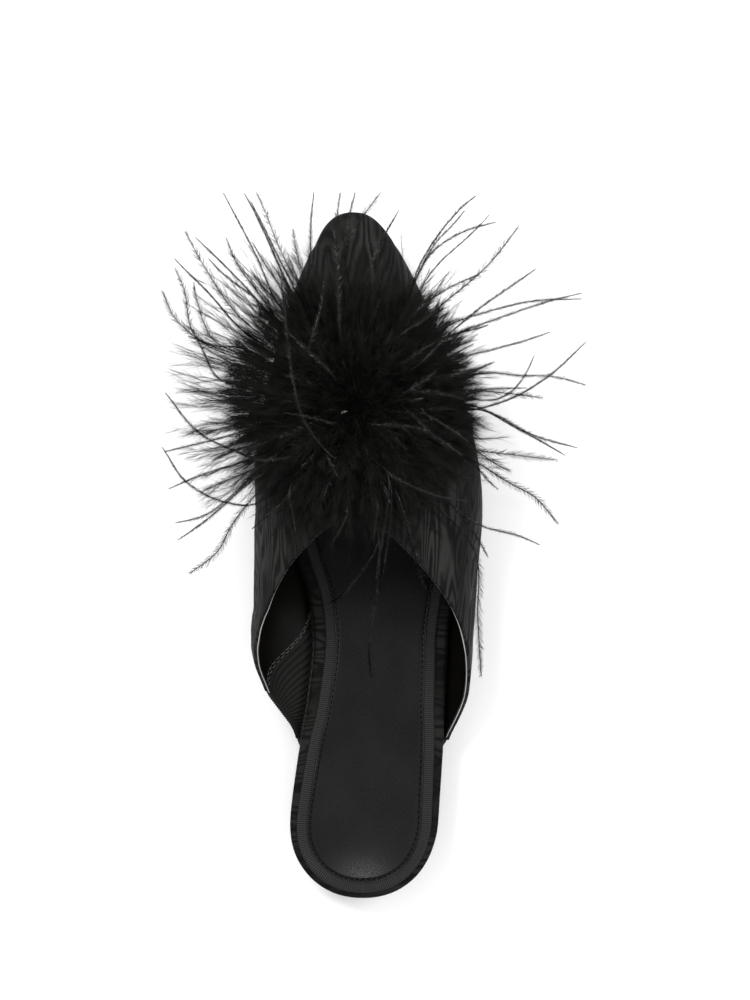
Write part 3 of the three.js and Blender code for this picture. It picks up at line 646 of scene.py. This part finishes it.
def make_footbed():
    radius, level = FOOTBED_EDGE_RADIUS, lambda a: 0
    rings = rings_from([(radius / 2, GAP), (0, GAP + radius / 2)], level, lambda x, s: sole_top(s))
    turns = np.radians([0, 15, 30, 45, 60, 75, 90])
    edge = [(radius * (1 - math.cos(t)), radius * (math.sin(t) - 1)) for t in turns]
    skin = slab(rings + rings_from([*edge, (HEEL_RIM, 0)], level, footbed_top), rows=200)
    piece = add_mesh("footbed_wrap", *skin, rim_silk, "moire_silk", "footbed", 40)


def outline_run(inset, count=None, pitch=1, each=1):
    """Angles evenly spaced along an inset of the outline, and the length walked.

    There are so many in all, or so many each to a pitch.
    """
    fine = np.linspace(0, TAU, 4001)
    walked = walk(np.stack(outline(fine, -inset(fine)), -1))
    count = count or round(walked[-1] / pitch) * each
    even = np.linspace(0, walked[-1], count, endpoint=False)
    return np.interp(even, walked, fine), even


def on_footbed(angle, inset, up):
    """Points over the footbed, an inset away from its outline."""
    x, y = outline(angle, -inset)
    return in_frame(x, y, footbed_top(x, y) + up)


def make_ribbon():
    each = 5
    middle = lambda a: rim_width(a) + RIBBON_WIDTH / 2
    angles, walked = outline_run(middle, pitch=RIB_PITCH, each=each)
    groove = np.cos(TAU * np.arange(len(angles)) / each) - 1
    # Across the ribbon, share of its thickness, share of the ribs' depth
    half = [(0, -0.05, 0), (-0.08, 0.45, 0.3), (0.1, 0.95, 0.7), (0.25, 1, 1)]
    profile = half + [(1 - across, *rest) for across, *rest in half[::-1]]
    points, uv = [], []
    for across, up, ribbed in profile:
        inset = rim_width(angles) + (0.03 + 0.94 * across) * RIBBON_WIDTH
        height = GAP / 2 + RIBBON_THICKNESS * up + RIB_DEPTH * ribbed * groove
        points.append(on_footbed(angles, inset, height))
        uv.append(np.stack([walked, 0 * walked + across * RIBBON_WIDTH], -1) * UV_SCALE)
    quads = grid_quads(len(profile), len(angles), wrap=True)
    add_mesh("ribbon_ribs", points, quads, (), uv, grosgrain, "grosgrain", "ribbon_border")


def sock_inset(angle):
    return rim_width(angle) + RIBBON_WIDTH


def make_sock():
    # How far in, and share of the thickness: a soft edge, then the groove of the seam
    profile = [
        (0.1, 0), (0, 0.45), (0.08, 0.75), (0.25, 0.92), (0.5, 0.98), (0.75, 0.93), (1, 0.84),
        (1.25, 0.94), (1.7, 1),
    ]
    profile = [(back, GAP + part * SOCK_THICKNESS) for back, part in profile]
    rings = rings_from(profile, lambda a: 0.35 - sock_inset(a), footbed_top)
    skin = slab(rings, rows=220, columns=24)
    add_mesh("sock_cover", *skin, sock_leather, "sock_leather", "sock_lining", 60)
    # A lighter tube along the panel's cut edge, thicker in some places than in others: partly the
    # edge's own lighter colour, partly a painted highlight where it catches the light here and
    # there
    inset = lambda a: sock_inset(a) - 0.3
    angles, walked = outline_run(inset, 600)
    path = on_footbed(angles, inset(angles), GAP + 0.8 * SOCK_THICKNESS)
    highlight_amount = 0.5 + 0.3 * np.sin(walked / 7.3) + 0.2 * np.sin(walked / 2.9 + 1)
    path, radius = (np.concatenate([a, a[:1]])[None] for a in (path, 0.03 + 0.1 * highlight_amount))
    add_mesh("sock_edge", *tubes(path, radius, 4), stuff=cut_edge_and_highlight, slot="sock_leather")


def stitches(name, middles, ahead, up, length, radius, stuff, slot):
    """One thread bead for each stitch: a short rounded strand that dips at both ends."""
    t = np.array([-0.5, -0.42, -0.2, 0.2, 0.42, 0.5])[None, :, None]
    dip = np.array([-1.6, -0.5, 0.45, 0.45, -0.5, -1.6])[None, :, None]
    thick = np.array([0.45, 0.85, 1, 1, 0.85, 0.45]) * radius
    paths = middles[:, None] + ahead[:, None] * t * length + up[:, None] * dip * radius
    strands = tubes(paths, np.broadcast_to(thick, paths.shape[:2]), 5)
    add_mesh(name, *strands, stuff=stuff, slot=slot)


def make_sock_stitches():
    inset = lambda a: sock_inset(a) + 0.65
    angles, _ = outline_run(inset, pitch=2.1)
    middles = on_footbed(angles, inset(angles), GAP + 0.87 * SOCK_THICKNESS)
    ahead = unit(np.roll(middles, -1, 0) - np.roll(middles, 1, 0))
    up = np.broadcast_to([0.0, 0.0, 1.0], middles.shape)
    stitches("sock_stitches", middles, ahead, up, 1.5, 0.2, dark_thread, "sock_leather")


# ---- upper
# Soft creases across the flex of the vamp and along the sides: station, share round the foot,
# length along the foot, width, depth, and how far the crease leans back towards the sole
CREASES = [
    (118, 0.17, 16, 3.2, 0.21, 0.5), (136, 0.2, 20, 4, 0.24, 0.3), (170, 0.15, 24, 4, 0.18, 0.1),
    (196, 0.16, 20, 3, 0.15, -0.1),
    (122, 0.83, 18, 3.4, 0.21, 0.5), (143, 0.8, 22, 4.2, 0.24, 0.25), (176, 0.85, 24, 4, 0.18, 0.1),
    (205, 0.84, 16, 3, 0.13, -0.1),
]
GIRTH = 150  # about how many mm the upper measures round the foot


def crease_depth(angle, share):
    station = (1 - np.cos(angle)) / 2 * footbed_length
    total = 0 * station
    for at, where, long, wide, deep, lean in CREASES:
        ds = station - at
        dg = (share - where) * GIRTH - lean * ds * np.sign(where - 0.5)
        total = total + deep * np.exp(-((ds / long) ** 2) - (dg / wide) ** 2)
    return total


def surface_uv(points):
    """Width measured round the foot from the ridge, and length along it."""
    step = np.linalg.norm(np.diff(points, axis=0), axis=-1)
    walked = np.concatenate([np.zeros((1, points.shape[1])), np.cumsum(step, 0)])
    return np.stack([walked - walked[points.shape[0] // 2], points[..., 1]], -1) * UV_SCALE


def make_upper():
    low = np.linspace(0, gore_top_share, 26, endpoint=False)
    half = np.append(low, np.linspace(gore_top_share, 0.5, 54))
    shares = np.append(half, 1 - half[-2::-1])[:, None]
    t = np.linspace(0, 1, 121) ** 1.05
    angle = upper_start(shares) * (1 - t) + np.pi * t
    edge = angle[:, :1]
    outer = upper_point(angle, shares, crease_depth(angle, shares))
    inner = upper_point(angle, shares, WALL)
    # The cut edge is rolled back over a small bead
    past = upper_point(edge + CUT_ANGLE, shares, WALL / 2)
    ahead = unit(past - upper_point(edge, shares, WALL / 2))
    roll = [
        upper_point(edge, shares, WALL / 2 * (1 - math.cos(turn))) - ahead * 0.28 * math.sin(turn)
        for turn in np.radians(np.arange(162, 0, -18))
    ]
    fold = inner[:, 1:2] * 0.2 + inner[:, :1] * 0.8
    skin = np.concatenate([fold, inner[:, :1], *roll, outer], 1)
    quads = grid_quads(*skin.shape[:2])
    add_mesh("upper_silk", skin, quads, (), surface_uv(skin), silk, "moire_silk", "upper", 70)
    quads = grid_quads(*inner.shape[:2])[:, ::-1]
    add_mesh("upper_lining", inner, quads, (), surface_uv(inner), lining, "moire_silk", "upper", 70)


def make_gore():
    """Elastic sheet whose ribs run from its free edge to where upper and footbed meet."""
    ribs, each, columns = 24, 9, 30
    rows = ribs * each
    f = np.linspace(0.005, 1, rows)[:, None]
    t = np.linspace(0, 1, columns)
    free_share = 0.99 * gore_top_share * f
    foot_angle = lerp(angle_at(WING_END), angle_at(GORE_FRONT), f**2)
    share = free_share * (1 - t)
    angle = topline_angle(free_share) * (1 - t) + foot_angle * t
    groove = 1 - np.abs(np.cos(np.pi * ribs * f))
    deep = 0.55 * groove * np.minimum(1, 8 * f)
    notched = angle + 0.017 * groove**0.8 * (1 - t) ** 10
    outside = upper_point(notched, share, GORE_DEPTH - 0.2 + deep)
    inside = upper_point(notched, share, GORE_DEPTH + GORE_THICKNESS + 0.2 - deep)
    skin = np.concatenate([inside[:, ::-1], outside], 1)
    step = np.linalg.norm(np.diff(skin, axis=1), axis=-1)
    walked = np.concatenate([np.zeros((rows, 1)), np.cumsum(step, 1)], 1)
    uv = np.stack([walked * UV_SCALE, np.broadcast_to(ribs * f, walked.shape)], -1)
    quads = grid_quads(rows, 2 * columns)
    add_mesh("gore_ribs", skin, quads, (), uv, elastic, "elastic", "elastic_gore")


def make_seam_stitches():
    """Two rows along the seam between upper and gore, on both faces of the cloth."""
    fine = np.linspace(0.004, gore_top_share * 0.97, 400)
    for side, depth, sign in (("inside", WALL + 0.05, 1), ("outside", -0.05, -1)):
        for row, by in (("a", 0.006), ("b", 0.017)):
            at_seam = lambda share, deep: upper_point(seam_angle(share) + by, share, deep)
            walked = walk(at_seam(fine, depth))
            at = np.interp(np.arange(1.2, walked[-1], 2.7), walked, fine)
            middles = at_seam(at, depth)
            out = sign * unit(at_seam(at, depth + 0.5) - middles)
            ahead = unit(at_seam(at + 0.0015, depth) - middles)
            name = f"seam_stitches_{side}_{row}"
            stitches(name, middles, ahead, out, 2.2, 0.24, thread, "moire_silk")


def make_topline():
    """The glossy edge of the lining, a thin bright line that fades under the throat."""
    deep = 1.35
    share = np.linspace(gore_top_share * 0.99, 0.992, 500)
    angle = topline_angle(share)
    edge = upper_point(angle, share, deep)
    ahead = unit(upper_point(angle + CUT_ANGLE, share, deep) - edge)
    inwards = unit(upper_point(angle, share, 1.9) - edge)
    path = edge - ahead * 0.3 + inwards * 0.1
    fades = np.where(share < 0.5, 120, 113)
    radius = 0.012 + 0.188 * smoothstep(fades - HEEL_CENTRE - path[:, 1], 0, 14)
    line = tubes(path[None], radius[None], 8)
    add_mesh("topline_edge", *line, stuff=bright_thread, slot="binding", node="topline_binding")


make_sole()
make_heel_part("top_lift_rubber", "top_lift", 0, LIFT_THICKNESS, rubber, "rubber")
base, seat = LIFT_THICKNESS + GAP, HEEL_HEIGHT - GAP
make_heel_part("heel_cover_skin", "heel_block", base, seat, heel_cover, "heel_cover")
make_footbed()
make_ribbon()
make_sock()
make_sock_stitches()
make_upper()
make_gore()
make_seam_stitches()
make_topline()


# ---- feathers
def vamp_heights():
    """Heights of the vamp on a grid seen from above, and a function that reads them."""
    xs = np.linspace(-46, 46, 93)
    ys = np.linspace(WING_END, LENGTH, 101) - HEEL_CENTRE
    x, y = np.meshgrid(xs, ys, indexing="ij")
    angle = angle_at(np.minimum(y + HEEL_CENTRE, footbed_length - 1))
    inner = x < upper_point(angle, 0.5, 0)[..., 0]

    def outside(girth):
        reach = upper_point(angle, np.where(inner, girth, 1 - girth), 0)[..., 0]
        return np.where(inner, reach > x, reach < x)

    girth = root_between(np.full(x.shape, BULGE_SHARE), np.full(x.shape, 0.5), outside)
    z = upper_point(angle, np.where(inner, girth, 1 - girth), 0)[..., 2]
    start = topline_height(y + HEEL_CENTRE, inner)
    station = np.clip(y + HEEL_CENTRE, 0, footbed_length)
    sock = footbed_top(np.clip(x, -20, 22), station) + GAP + SOCK_THICKNESS
    z = np.where(z > start + 0.5, sock, z)
    z = np.where(np.abs(girth - BULGE_SHARE) < 1e-4, 0, z)

    def read(points):
        px, py = points[..., 0], points[..., 1]
        fx = np.clip((px - xs[0]) / (xs[1] - xs[0]), 0, len(xs) - 1.001)
        fy = np.clip((py - ys[0]) / (ys[1] - ys[0]), 0, len(ys) - 1.001)
        i, j = fx.astype(int), fy.astype(int)
        u, v = fx - i, fy - j
        low, high = (lerp(z[i, k], z[i + 1, k], u) for k in (j, j + 1))
        off = (px < xs[0]) | (px > xs[-1]) | (py > ys[-1])
        return np.where(off, 0, lerp(low, high, v))

    return read


vamp_height = vamp_heights()
SEAT = upper_point(angle_at(POMPOM_STATION), 0.5, 0)
CENTRE = np.array([-POMPOM_SHIFT, SEAT[1] + 2, SEAT[2] + 3])
STRAND_STEPS = 26
GOLDEN = 0.618034  # share of a turn, and in degrees, that spread headings evenly
GOLDEN_ANGLE = 137.508
random = np.random.default_rng(41)


def clear_of_vamp(points, margin=0.35):
    """Points lifted to lie on the shoe where they would pass through it."""
    points = points.copy()
    points[..., 2] = np.maximum(points[..., 2], vamp_height(points) + margin)
    return points


def bend(roots, ahead, lengths, fall, sway, k):
    """Curved axes (n, k, 3) that start along ahead and bend down and sideways."""
    t = np.linspace(0, 1, k)[None, :, None]
    across = unit(np.cross(ahead, [0, 0, 1.0]))
    down = np.array([0, 0, -1.0])
    lengths, fall, sway = (np.asarray(a)[:, None, None] for a in (lengths, fall, sway))
    bow = (down * fall + across[:, None] * sway) * t**2
    return roots[:, None] + lengths * (ahead[:, None] * t + bow)


def heading_vectors(heading, rise):
    heading, rise = np.radians(heading), np.radians(rise)
    flat = np.cos(rise)
    return np.stack([np.cos(heading) * flat, np.sin(heading) * flat, np.sin(rise)], -1)


def down_barbs(axes, per_axis, length, width, spread_at, bends, tip_share):
    """Fine barbs off both sides of each axis, as thin curved ribbons with so many bends."""
    n, k, _ = axes.shape
    t = np.sort(random.uniform(0.01, 1, (n, per_axis)) ** tip_share, 1)
    place = t * (k - 1)
    i = np.minimum(place.astype(int), k - 2)
    rows = np.arange(n)[:, None]
    part = (place - i)[..., None]
    root = lerp(axes[rows, i], axes[rows, i + 1], part)
    ahead = unit(axes[rows, i + 1] - axes[rows, i])
    flat = unit(random.normal(size=(n, 1, 3)) * [1, 1, 0.7])
    side = unit(np.cross(ahead, flat) + random.normal(0, 0.35, (n, per_axis, 3)))
    side = side * random.choice([-1, 1], (n, per_axis, 1))
    spread = np.radians(spread_at * (1 - 0.45 * t) + random.normal(0, 12, (n, per_axis)))[..., None]
    out = unit(ahead * np.cos(spread) + side * np.sin(spread))
    size = length * (1.1 - 0.5 * t) * random.uniform(0.5, 1.15, (n, per_axis))
    curl = random.normal(0, 0.2, (n, per_axis, 3)) - [0, 0, 0.12]
    s = np.linspace(0, 1, bends + 2)
    bow = ((ahead - out) * 0.3 + curl)[:, :, None] * s[:, None] ** 2
    free = root[:, :, None] + size[..., None, None] * (out[:, :, None] * s[:, None] + bow)
    free = free.reshape(-1, bends + 2, 3)
    paths = clear_of_vamp(free)
    # Barbs that the vamp would lift far, or that grow steeply down, would stick up as bright curls
    lifted = np.max(paths[..., 2] - free[..., 2], axis=1)
    paths = paths[(lifted < 2) & (ahead[..., 2].ravel() > -0.6)]
    taper = np.interp(s, [0, 0.5, 1], [1, 0.75, 0.12])
    widths = width * random.uniform(0.6, 1.3, (len(paths), 1)) * taper
    facing = unit(random.normal(size=(len(paths), 3)) * 0.5 + [0, 0, 1])
    return ribbons(paths, widths, facing)


# Marabou tiers: tufts; from which to which heading; where they start and reach to across the
# shoe; rise above level; fall; barbs on each tuft; their length, width, spread, bends, and how
# much they crowd at the tip
TIERS = {
    "marabou_skirt": (280, (0, 360), (8, 26), (43, 49), (-8, 8), 0.04, 125, 8, 0.15, 54, 1, 0.55),
    "marabou_ruff": (260, (0, 360), (6, 24), (41, 48), (6, 26), 0.14, 125, 8.5, 0.14, 56, 1, 0.55),
    "marabou_body": (190, (0, 360), (3, 16), (29, 42), (22, 52), 0.24, 130, 11, 0.15, 60, 1, 0.65),
    "marabou_crown": (150, (0, 360), (1, 8), (18, 28), (46, 88), 0.3, 130, 11, 0.14, 66, 1, 0.75),
    "marabou_fringe": (
        330, (0, 360), (26, 34), (45, 55), (-6, 30), 0.08, 84, 9.5, 0.06, 38, 2, 0.8,
    ),
    "marabou_throat": (80, (205, 335), (10, 30), (50, 66), (8, 36), 0.42, 90, 10, 0.09, 34, 2, 0.8),
    "marabou_toe": (84, (55, 125), (10, 30), (46, 66), (0, 24), 0.3, 90, 10, 0.09, 28, 2, 0.8),
    "marabou_wisps": (84, (118, 218), (28, 40), (54, 72), (2, 22), 0.1, 70, 12, 0.075, 22, 2, 0.8),
}
# How far the down reaches by heading, as a share of the tiers' own reach
REACH_BY_HEADING = [
    (0, 1.02), (15, 1.03), (31, 1.05), (54, 1.09), (75, 0.98), (100, 0.98), (116, 1.08),
    (131, 1.15), (152, 1.04), (167, 1.09), (180, 1.04), (205, 0.98), (230, 0.95), (270, 0.94),
    (300, 0.96), (330, 1), (346, 1.06), (360, 1.02),
]


def make_marabou():
    for name, (count, headings, starts, reaches, rises, fall, barbs, *barb) in TIERS.items():
        heading = headings[0] + (np.arange(count) * GOLDEN % 1) * (headings[1] - headings[0])
        heading = heading + random.normal(0, 3, count)
        ahead = heading_vectors(heading, random.uniform(*rises, count))
        reach = random.uniform(*reaches, count) * np.interp(heading % 360, *zip(*REACH_BY_HEADING))
        start = random.uniform(*starts, count)
        roots = CENTRE + ahead * start[:, None]
        size = reach - start - 0.35 * barb[0]
        fall, sway = random.normal(fall, 0.06, count), random.normal(0, 0.12, count)
        axes = clear_of_vamp(bend(roots, ahead, size, fall, sway, 9), 0.8)
        points, quads, tips = down_barbs(axes, barbs, *barb)
        add_feathers(name, points, quads, tips)


def add_feathers(name, points, quads, tips=(), stuff=down):
    add_mesh(name, points, quads, tips, stuff=stuff, slot="feather", node="feather_pompom")


# Long ostrich barbs as they are seen from above. Height above the pompom's middle at the start and
# at the tip, in mm; then how fuzzy and how thick, in tenths; then the points from where the strand
# leaves the down to its tip, in tenths of a mm from the pompom's middle to the right and to the toe
STRANDS = [
    (20,34, 3.5,10, -299,428, -398,629, -497,827), (24,40, 3.5,12, -269,519, -345,671, -419,827),
    (30,36, 10,8, -284,629, -326,728, -371,827), (28,44, 4,11, -284,576, -337,686, -394,796),
    (14,20, 10,9, -470,390, -548,515, -641,679), (20,32, 3.5,11, -383,436, -493,546, -603,656),
    (22,24, 3,10, -379,417, -466,496, -554,576), (26,38, 7,10, -360,436, -447,546, -485,652),
    (16,24, 3,12, -474,352, -580,466, -683,576), (30,42, 4,9, -284,474, -337,557, -387,639),
    (28,34, 10,7, -210,569, -223,629, -231,686), (8,16, 10,9, -611,295, -641,455, -679,538),
    (14,22, 10,9, -611,288, -683,356, -728,455), (18,34, 9,8, -548,288, -595,417, -607,485),
    (12,18, 5,10, -440,235, -535,250, -626,280), (12,26, 4,8, -533,138, -565,208, -595,276),
    (22,26, 4,10, -170,504, -170,603, -151,827), (26,26, 9,10, -51,375, -68,656, -52,827),
    (24,20, 5,9, -26,679, -18,751, 6,827), (26,34, 10,9, -37,622, 46,751, 103,827),
    (34,44, 4,13, 42,500, 111,663, 171,758), (44,44, 4,9, -166,231, -125,386, -106,576),
    (16,24, 5,10, 327,675, 395,743, 464,812), (22,34, 4,8, 327,656, 373,705, 420,756),
    (14,18, 2,8, 327,561, 422,652, 517,743), (24,36, 6,10, 327,626, 426,679, 540,713),
    (26,24, 10,11, 327,390, 559,607, 627,698), (40,40, 6,10, 251,379, 327,436, 479,515),
    (20,28, 5,11, 456,367, 574,451, 695,538), (34,36, 6,11, 327,261, 764,417, 866,443),
    (26,20, 6,10, 327,310, 490,367, 699,413, 866,421),
    (22,30, 5,9, 430,208, 532,235, 676,269, 745,295),
    (32,40, 4,13, 483,7, 631,60, 752,136, 885,261), (38,46, 6,14, 365,136, 414,147, 532,181),
    (14,28, 6,9, 521,143, 642,128, 748,124, 881,94), (20,28, 3,6, 612,79, 646,124, 688,212),
    (26,30, 10,10, 452,75, 581,64, 718,45), (34,42, 4,8, 452,75, 555,83, 654,83),
    (20,24, 4,11, 532,-16, 684,-92, 851,-145), (14,14, 3,12, 452,18, 631,-81, 805,-175),
    (16,28, 9,9, 479,-156, 608,-168, 775,-191), (26,36, 10,10, 479,-164, 536,-202, 597,-236),
    (16,16, 9,11, 494,-213, 600,-282, 684,-331, 777,-434),
    (14,18, 4,8, 479,-229, 513,-267, 547,-301), (4,10, 3,8, 483,-441, 623,-483, 707,-513),
    (6,10, 4,8, 471,-483, 483,-506, 509,-559),
    (24,18, 4,10, -364,-191, -466,-149, -592,-73, -717,67),
    (22,28, 4,10, -428,-84, -538,-111, -719,-160),
    (8,10, 4,10, -402,-361, -573,-320, -641,-274, -728,-141),
    (16,20, 3,9, -466,-213, -592,-259, -705,-301), (30,34, 4,8, -394,-141, -440,-156, -535,-191),
    (26,30, 10,10, -356,-210, -402,-229, -580,-312),
    (12,12, 4,10, -390,-255, -481,-339, -565,-399, -679,-430),
    (20,22, 4,11, -368,-259, -508,-373, -667,-494),
    (10,6, 10,10, -375,-327, -462,-437, -512,-528, -626,-623),
    (42,36, 5,19, -90,-175, -178,-58, -238,170, -276,485),
    (26,-20, 4,15, 130,-255, 99,-559, 80,-711), (24,-22, 3,11, 145,-293, 115,-559, 96,-696),
    (22,-20, 9,16, 168,-331, 228,-521, 289,-711), (8,-31, 5,9, 92,-502, 69,-825, 65,-1014),
    (4,-26, 3,9, 84,-521, -15,-680, -98,-737), (2,-16, 10,10, 464,-559, 475,-787, 483,-1014),
    (24,14, 2,9, 92,-380, 80,-445, 73,-502), (20,12, 2,9, -34,-407, -52,-445, -79,-502),
    (44,42, 5,13, -90,145, -187,239, -250,293), (42,40, 3,8, -54,314, -60,428, -64,542),
    (44,40, 4,13, 197,296, 251,333, 327,383), (46,40, 5,14, 266,189, 348,272, 512,322),
    (48,44, 4,10, 228,208, 266,231, 304,253), (50,46, 6,14, 228,88, 274,117, 314,148),
    (46,40, 4,10, 273,64, 342,52, 433,30), (44,34, 4,12, 285,-24, 350,-65, 441,-126),
    (46,32, 4,11, 228,-18, 310,-100, 411,-172), (48,34, 5,14, 90,-56, 254,-81, 367,-156),
    (34,22, 5,13, 152,-251, 278,-314, 436,-346), (32,28, 3,13, -275,-188, -345,-194, -445,-163),
    (20,12, 3,10, -242,-312, -294,-371, -387,-453), (46,42, 3,9, -92,-50, -174,-27, -262,-12),
    (42,36, 4,11, -92,-206, -75,-232, -52,-263), (24,16, 3,9, -246,-331, -235,-388, -221,-464),
]
EYE = np.array([3.04, 120.9, 1315.0])
SEEN_AT = 15  # height of the footbed, where the places in STRANDS are measured
TALL = 28  # what strands rise above this is cut down, by so much of it
TALL_CUT = 0.6


def strand_paths():
    """The strands' paths: each point lies on the line of sight through its place as seen."""
    paths = []
    for start, end, _, _, *seen in STRANDS:
        seen = np.reshape(seen, (-1, 2)) / 10 + CENTRE[:2]
        start, end = (h - TALL_CUT * max(0, h - TALL) for h in (start, end))
        height = CENTRE[2] + lerp(start, end, np.linspace(0, 1, len(seen)) ** 1.6)
        near = (EYE[2] - height) / (EYE[2] - SEEN_AT)
        knots = np.column_stack([EYE[:2] + (seen - EYE[:2]) * near[:, None], height])
        knots = np.array([lerp(CENTRE, knots[0], 0.55) - [0, 0, 9], *knots])
        walked = walk(knots) / walk(knots)[-1]
        u = np.linspace(0, 1, STRAND_STEPS)
        paths.append([hermite(walked, c, np.gradient(c, walked), u) for c in knots.T])
    return np.moveaxis(np.array(paths), 1, 2)


def extra_strands(count):
    """Shorter strands between the long ones."""
    heading = (np.arange(count) * GOLDEN_ANGLE + random.normal(0, 10, count)) % 360
    ahead = heading_vectors(heading, random.uniform(8, 62, count))
    roots = CENTRE + ahead * random.uniform(4, 14, (count, 1))
    size = random.uniform(28, 46, count) * (1 - 0.18 * np.abs(np.sin(np.radians(heading))))
    fall, sway = random.uniform(0.05, 0.3, count), random.normal(0, 0.1, count)
    paths = bend(roots, ahead, size, fall, sway, STRAND_STEPS)
    return paths, random.uniform(0.15, 0.6, count), random.uniform(0.5, 0.9, count)


def barbules(path, fuzzy):
    """Two rows of short hairs on a strand, swept towards its tip like a herringbone."""
    walked = walk(path)

    def on_path(at):
        return np.stack([np.interp(at, walked, path[:, c]) for c in range(3)], -1)

    at = np.arange(walked[-1] * 0.25, walked[-1] * 0.995, 0.3 + 0.06 * fuzzy)
    at = np.repeat(at, 2) + random.normal(0, 0.1, 2 * len(at))
    sign = np.tile([-1, 1], len(at) // 2)[:, None]
    root = on_path(at)
    ahead = unit(on_path(at + 0.6) - on_path(at - 0.6))
    twist = (0.6 * np.sin(at / 15 + random.uniform(0, TAU)))[:, None]
    flat = unit(np.cross(ahead, [0, 0, 1.0]))
    up = np.cross(flat, ahead)
    side = sign * (flat * np.cos(twist) + up * np.sin(twist))
    share = at / walked[-1]
    grow = smoothstep(share, 0.15, 0.5) * (1 - 0.55 * smoothstep(share, 0.8, 1.0))
    length = ((0.9 + 2.9 * fuzzy) * grow * random.uniform(0.6, 1.15, len(at)))[:, None]
    sweep = np.radians(30 + 12 * fuzzy + random.normal(0, 8, len(at)))[:, None]
    out = unit(ahead * np.cos(sweep) + side * np.sin(sweep) + random.normal(0, 0.1, (len(at), 3)))
    s = np.array([0, 0.5, 1])[None, :, None]
    bow = (ahead - out)[:, None] * 0.2 * s**2
    hairs = root[:, None] + length[:, None] * (out[:, None] * s + bow)
    widths = np.array([0.15, 0.12, 0.03]) * random.uniform(0.7, 1.2, (len(at), 1))
    return ribbons(hairs, widths, unit(up + random.normal(0, 0.4, up.shape)))


def make_plumes():
    extra, extra_fuzz, extra_thick = extra_strands(36)
    paths = clear_of_vamp(np.concatenate([strand_paths(), extra]), 0.5)
    fuzz = np.append([row[2] / 10 for row in STRANDS], extra_fuzz)
    thick = np.append([row[3] / 10 for row in STRANDS], extra_thick)
    n, k, _ = paths.shape
    # A faint tremble, so that no strand is a clean arc
    t = np.linspace(0, 1, k)
    tremble = random.normal(0, 1, (n, 3, 1, 3))
    for order in range(3):
        wave = np.sin(np.pi * (order + 2) * t)[:, None]
        paths += 0.3 / (order + 1) * wave * tremble[:, order]
    radii = lerp(0.29, 0.18, t)[None] * thick[:, None]
    radii[:, -1] = 0.04
    add_feathers("ostrich_stems", *tubes(paths, radii, 3), stuff=plume)
    made, total = [], 0
    for path, fuzzy in zip(paths, fuzz):
        points, quads, tips = barbules(path, fuzzy)
        points, quads = points.reshape(-1, 3), quads.reshape(-1, 4)
        made.append((points, quads + total, tips + total))
        total += len(points)
    hairs = (np.concatenate(part) for part in zip(*made))
    add_feathers("ostrich_barbules", *hairs, stuff=plume)


def make_quill_ends():
    """Pale cut quill ends that show in the middle of the pompom."""
    count, k = 4, 6
    heading = random.uniform(0, 360, count)
    ahead = heading_vectors(heading, random.uniform(10, 60, count))
    roots = CENTRE + [-3.2, -2.6, 30] + random.normal(0, 0.35, (count, 3))
    size, sway = random.uniform(0.7, 1.7, count), random.normal(0, 0.5, count)
    paths = bend(roots, ahead, size, np.full(count, 0.3), sway, k)
    radii = lerp(0.34, 0.2, np.linspace(0, 1, k))[None] * np.ones((count, 1))
    add_feathers("quill_ends", *tubes(paths, radii, 5), stuff=quill)


make_marabou()
make_plumes()
make_quill_ends()


# ---- floor, lights and camera
far = 3000
points = [(-far, -far, 0), (far, -far, 0), (far, far, 0), (-far, far, 0)]
t = Shader("pale_floor", (0.95,) * 3, 0.7)
soft = t.noise(t.place(), (3, 3, 3))
t.set(Base_Color=t.colours(soft, (0.94,) * 3, (0.96,) * 3))
floor = add_mesh("floor", points, [(0, 1, 2, 3)], stuff=t.material)

# Name, place, what it shines at, diameter and power
LIGHTS = [
    ("key", (-0.7, 0.9, 1.3), (0, 0.12, 0.02), 0.7, 19),
    ("fill", (0.9, 0.3, 1.1), (0, 0.12, 0.02), 0.8, 10),
    ("heel", (0, -0.166, 1.3), (0, -0.022, 0.02), 0.1, 1.4),
]
world = bpy.data.worlds.new("studio")
bpy.context.scene.world = world
world.use_nodes = True
background = world.node_tree.nodes["Background"]
background.inputs["Color"].default_value = (1, 1, 1, 1)
background.inputs["Strength"].default_value = 0.77
for name, at, towards, size, power in LIGHTS:
    data = bpy.data.lights.new(name, "AREA")
    data.shape, data.size, data.energy = "DISK", size, power
    lamp = bpy.data.objects.new(name, data)
    lamp.location = at
    lamp.rotation_mode = "QUATERNION"
    lamp.rotation_quaternion = (Vector(towards) - Vector(at)).to_track_quat("-Z", "Y")
    bpy.context.collection.objects.link(lamp)

# Straight down with the toe up
data = bpy.data.cameras.new("camera")
camera = bpy.data.objects.new("camera", data)
bpy.context.collection.objects.link(camera)
distance, view_height = 1.3, 0.3796
data.sensor_width = 36
data.lens = data.sensor_width * distance / view_height
camera.location = (*EYE[:2] * MM, distance + SEEN_AT * MM)
data.clip_start, data.clip_end = 0.05, 20
bpy.context.scene.camera = camera
bpy.context.scene.view_settings.view_transform = "Standard"
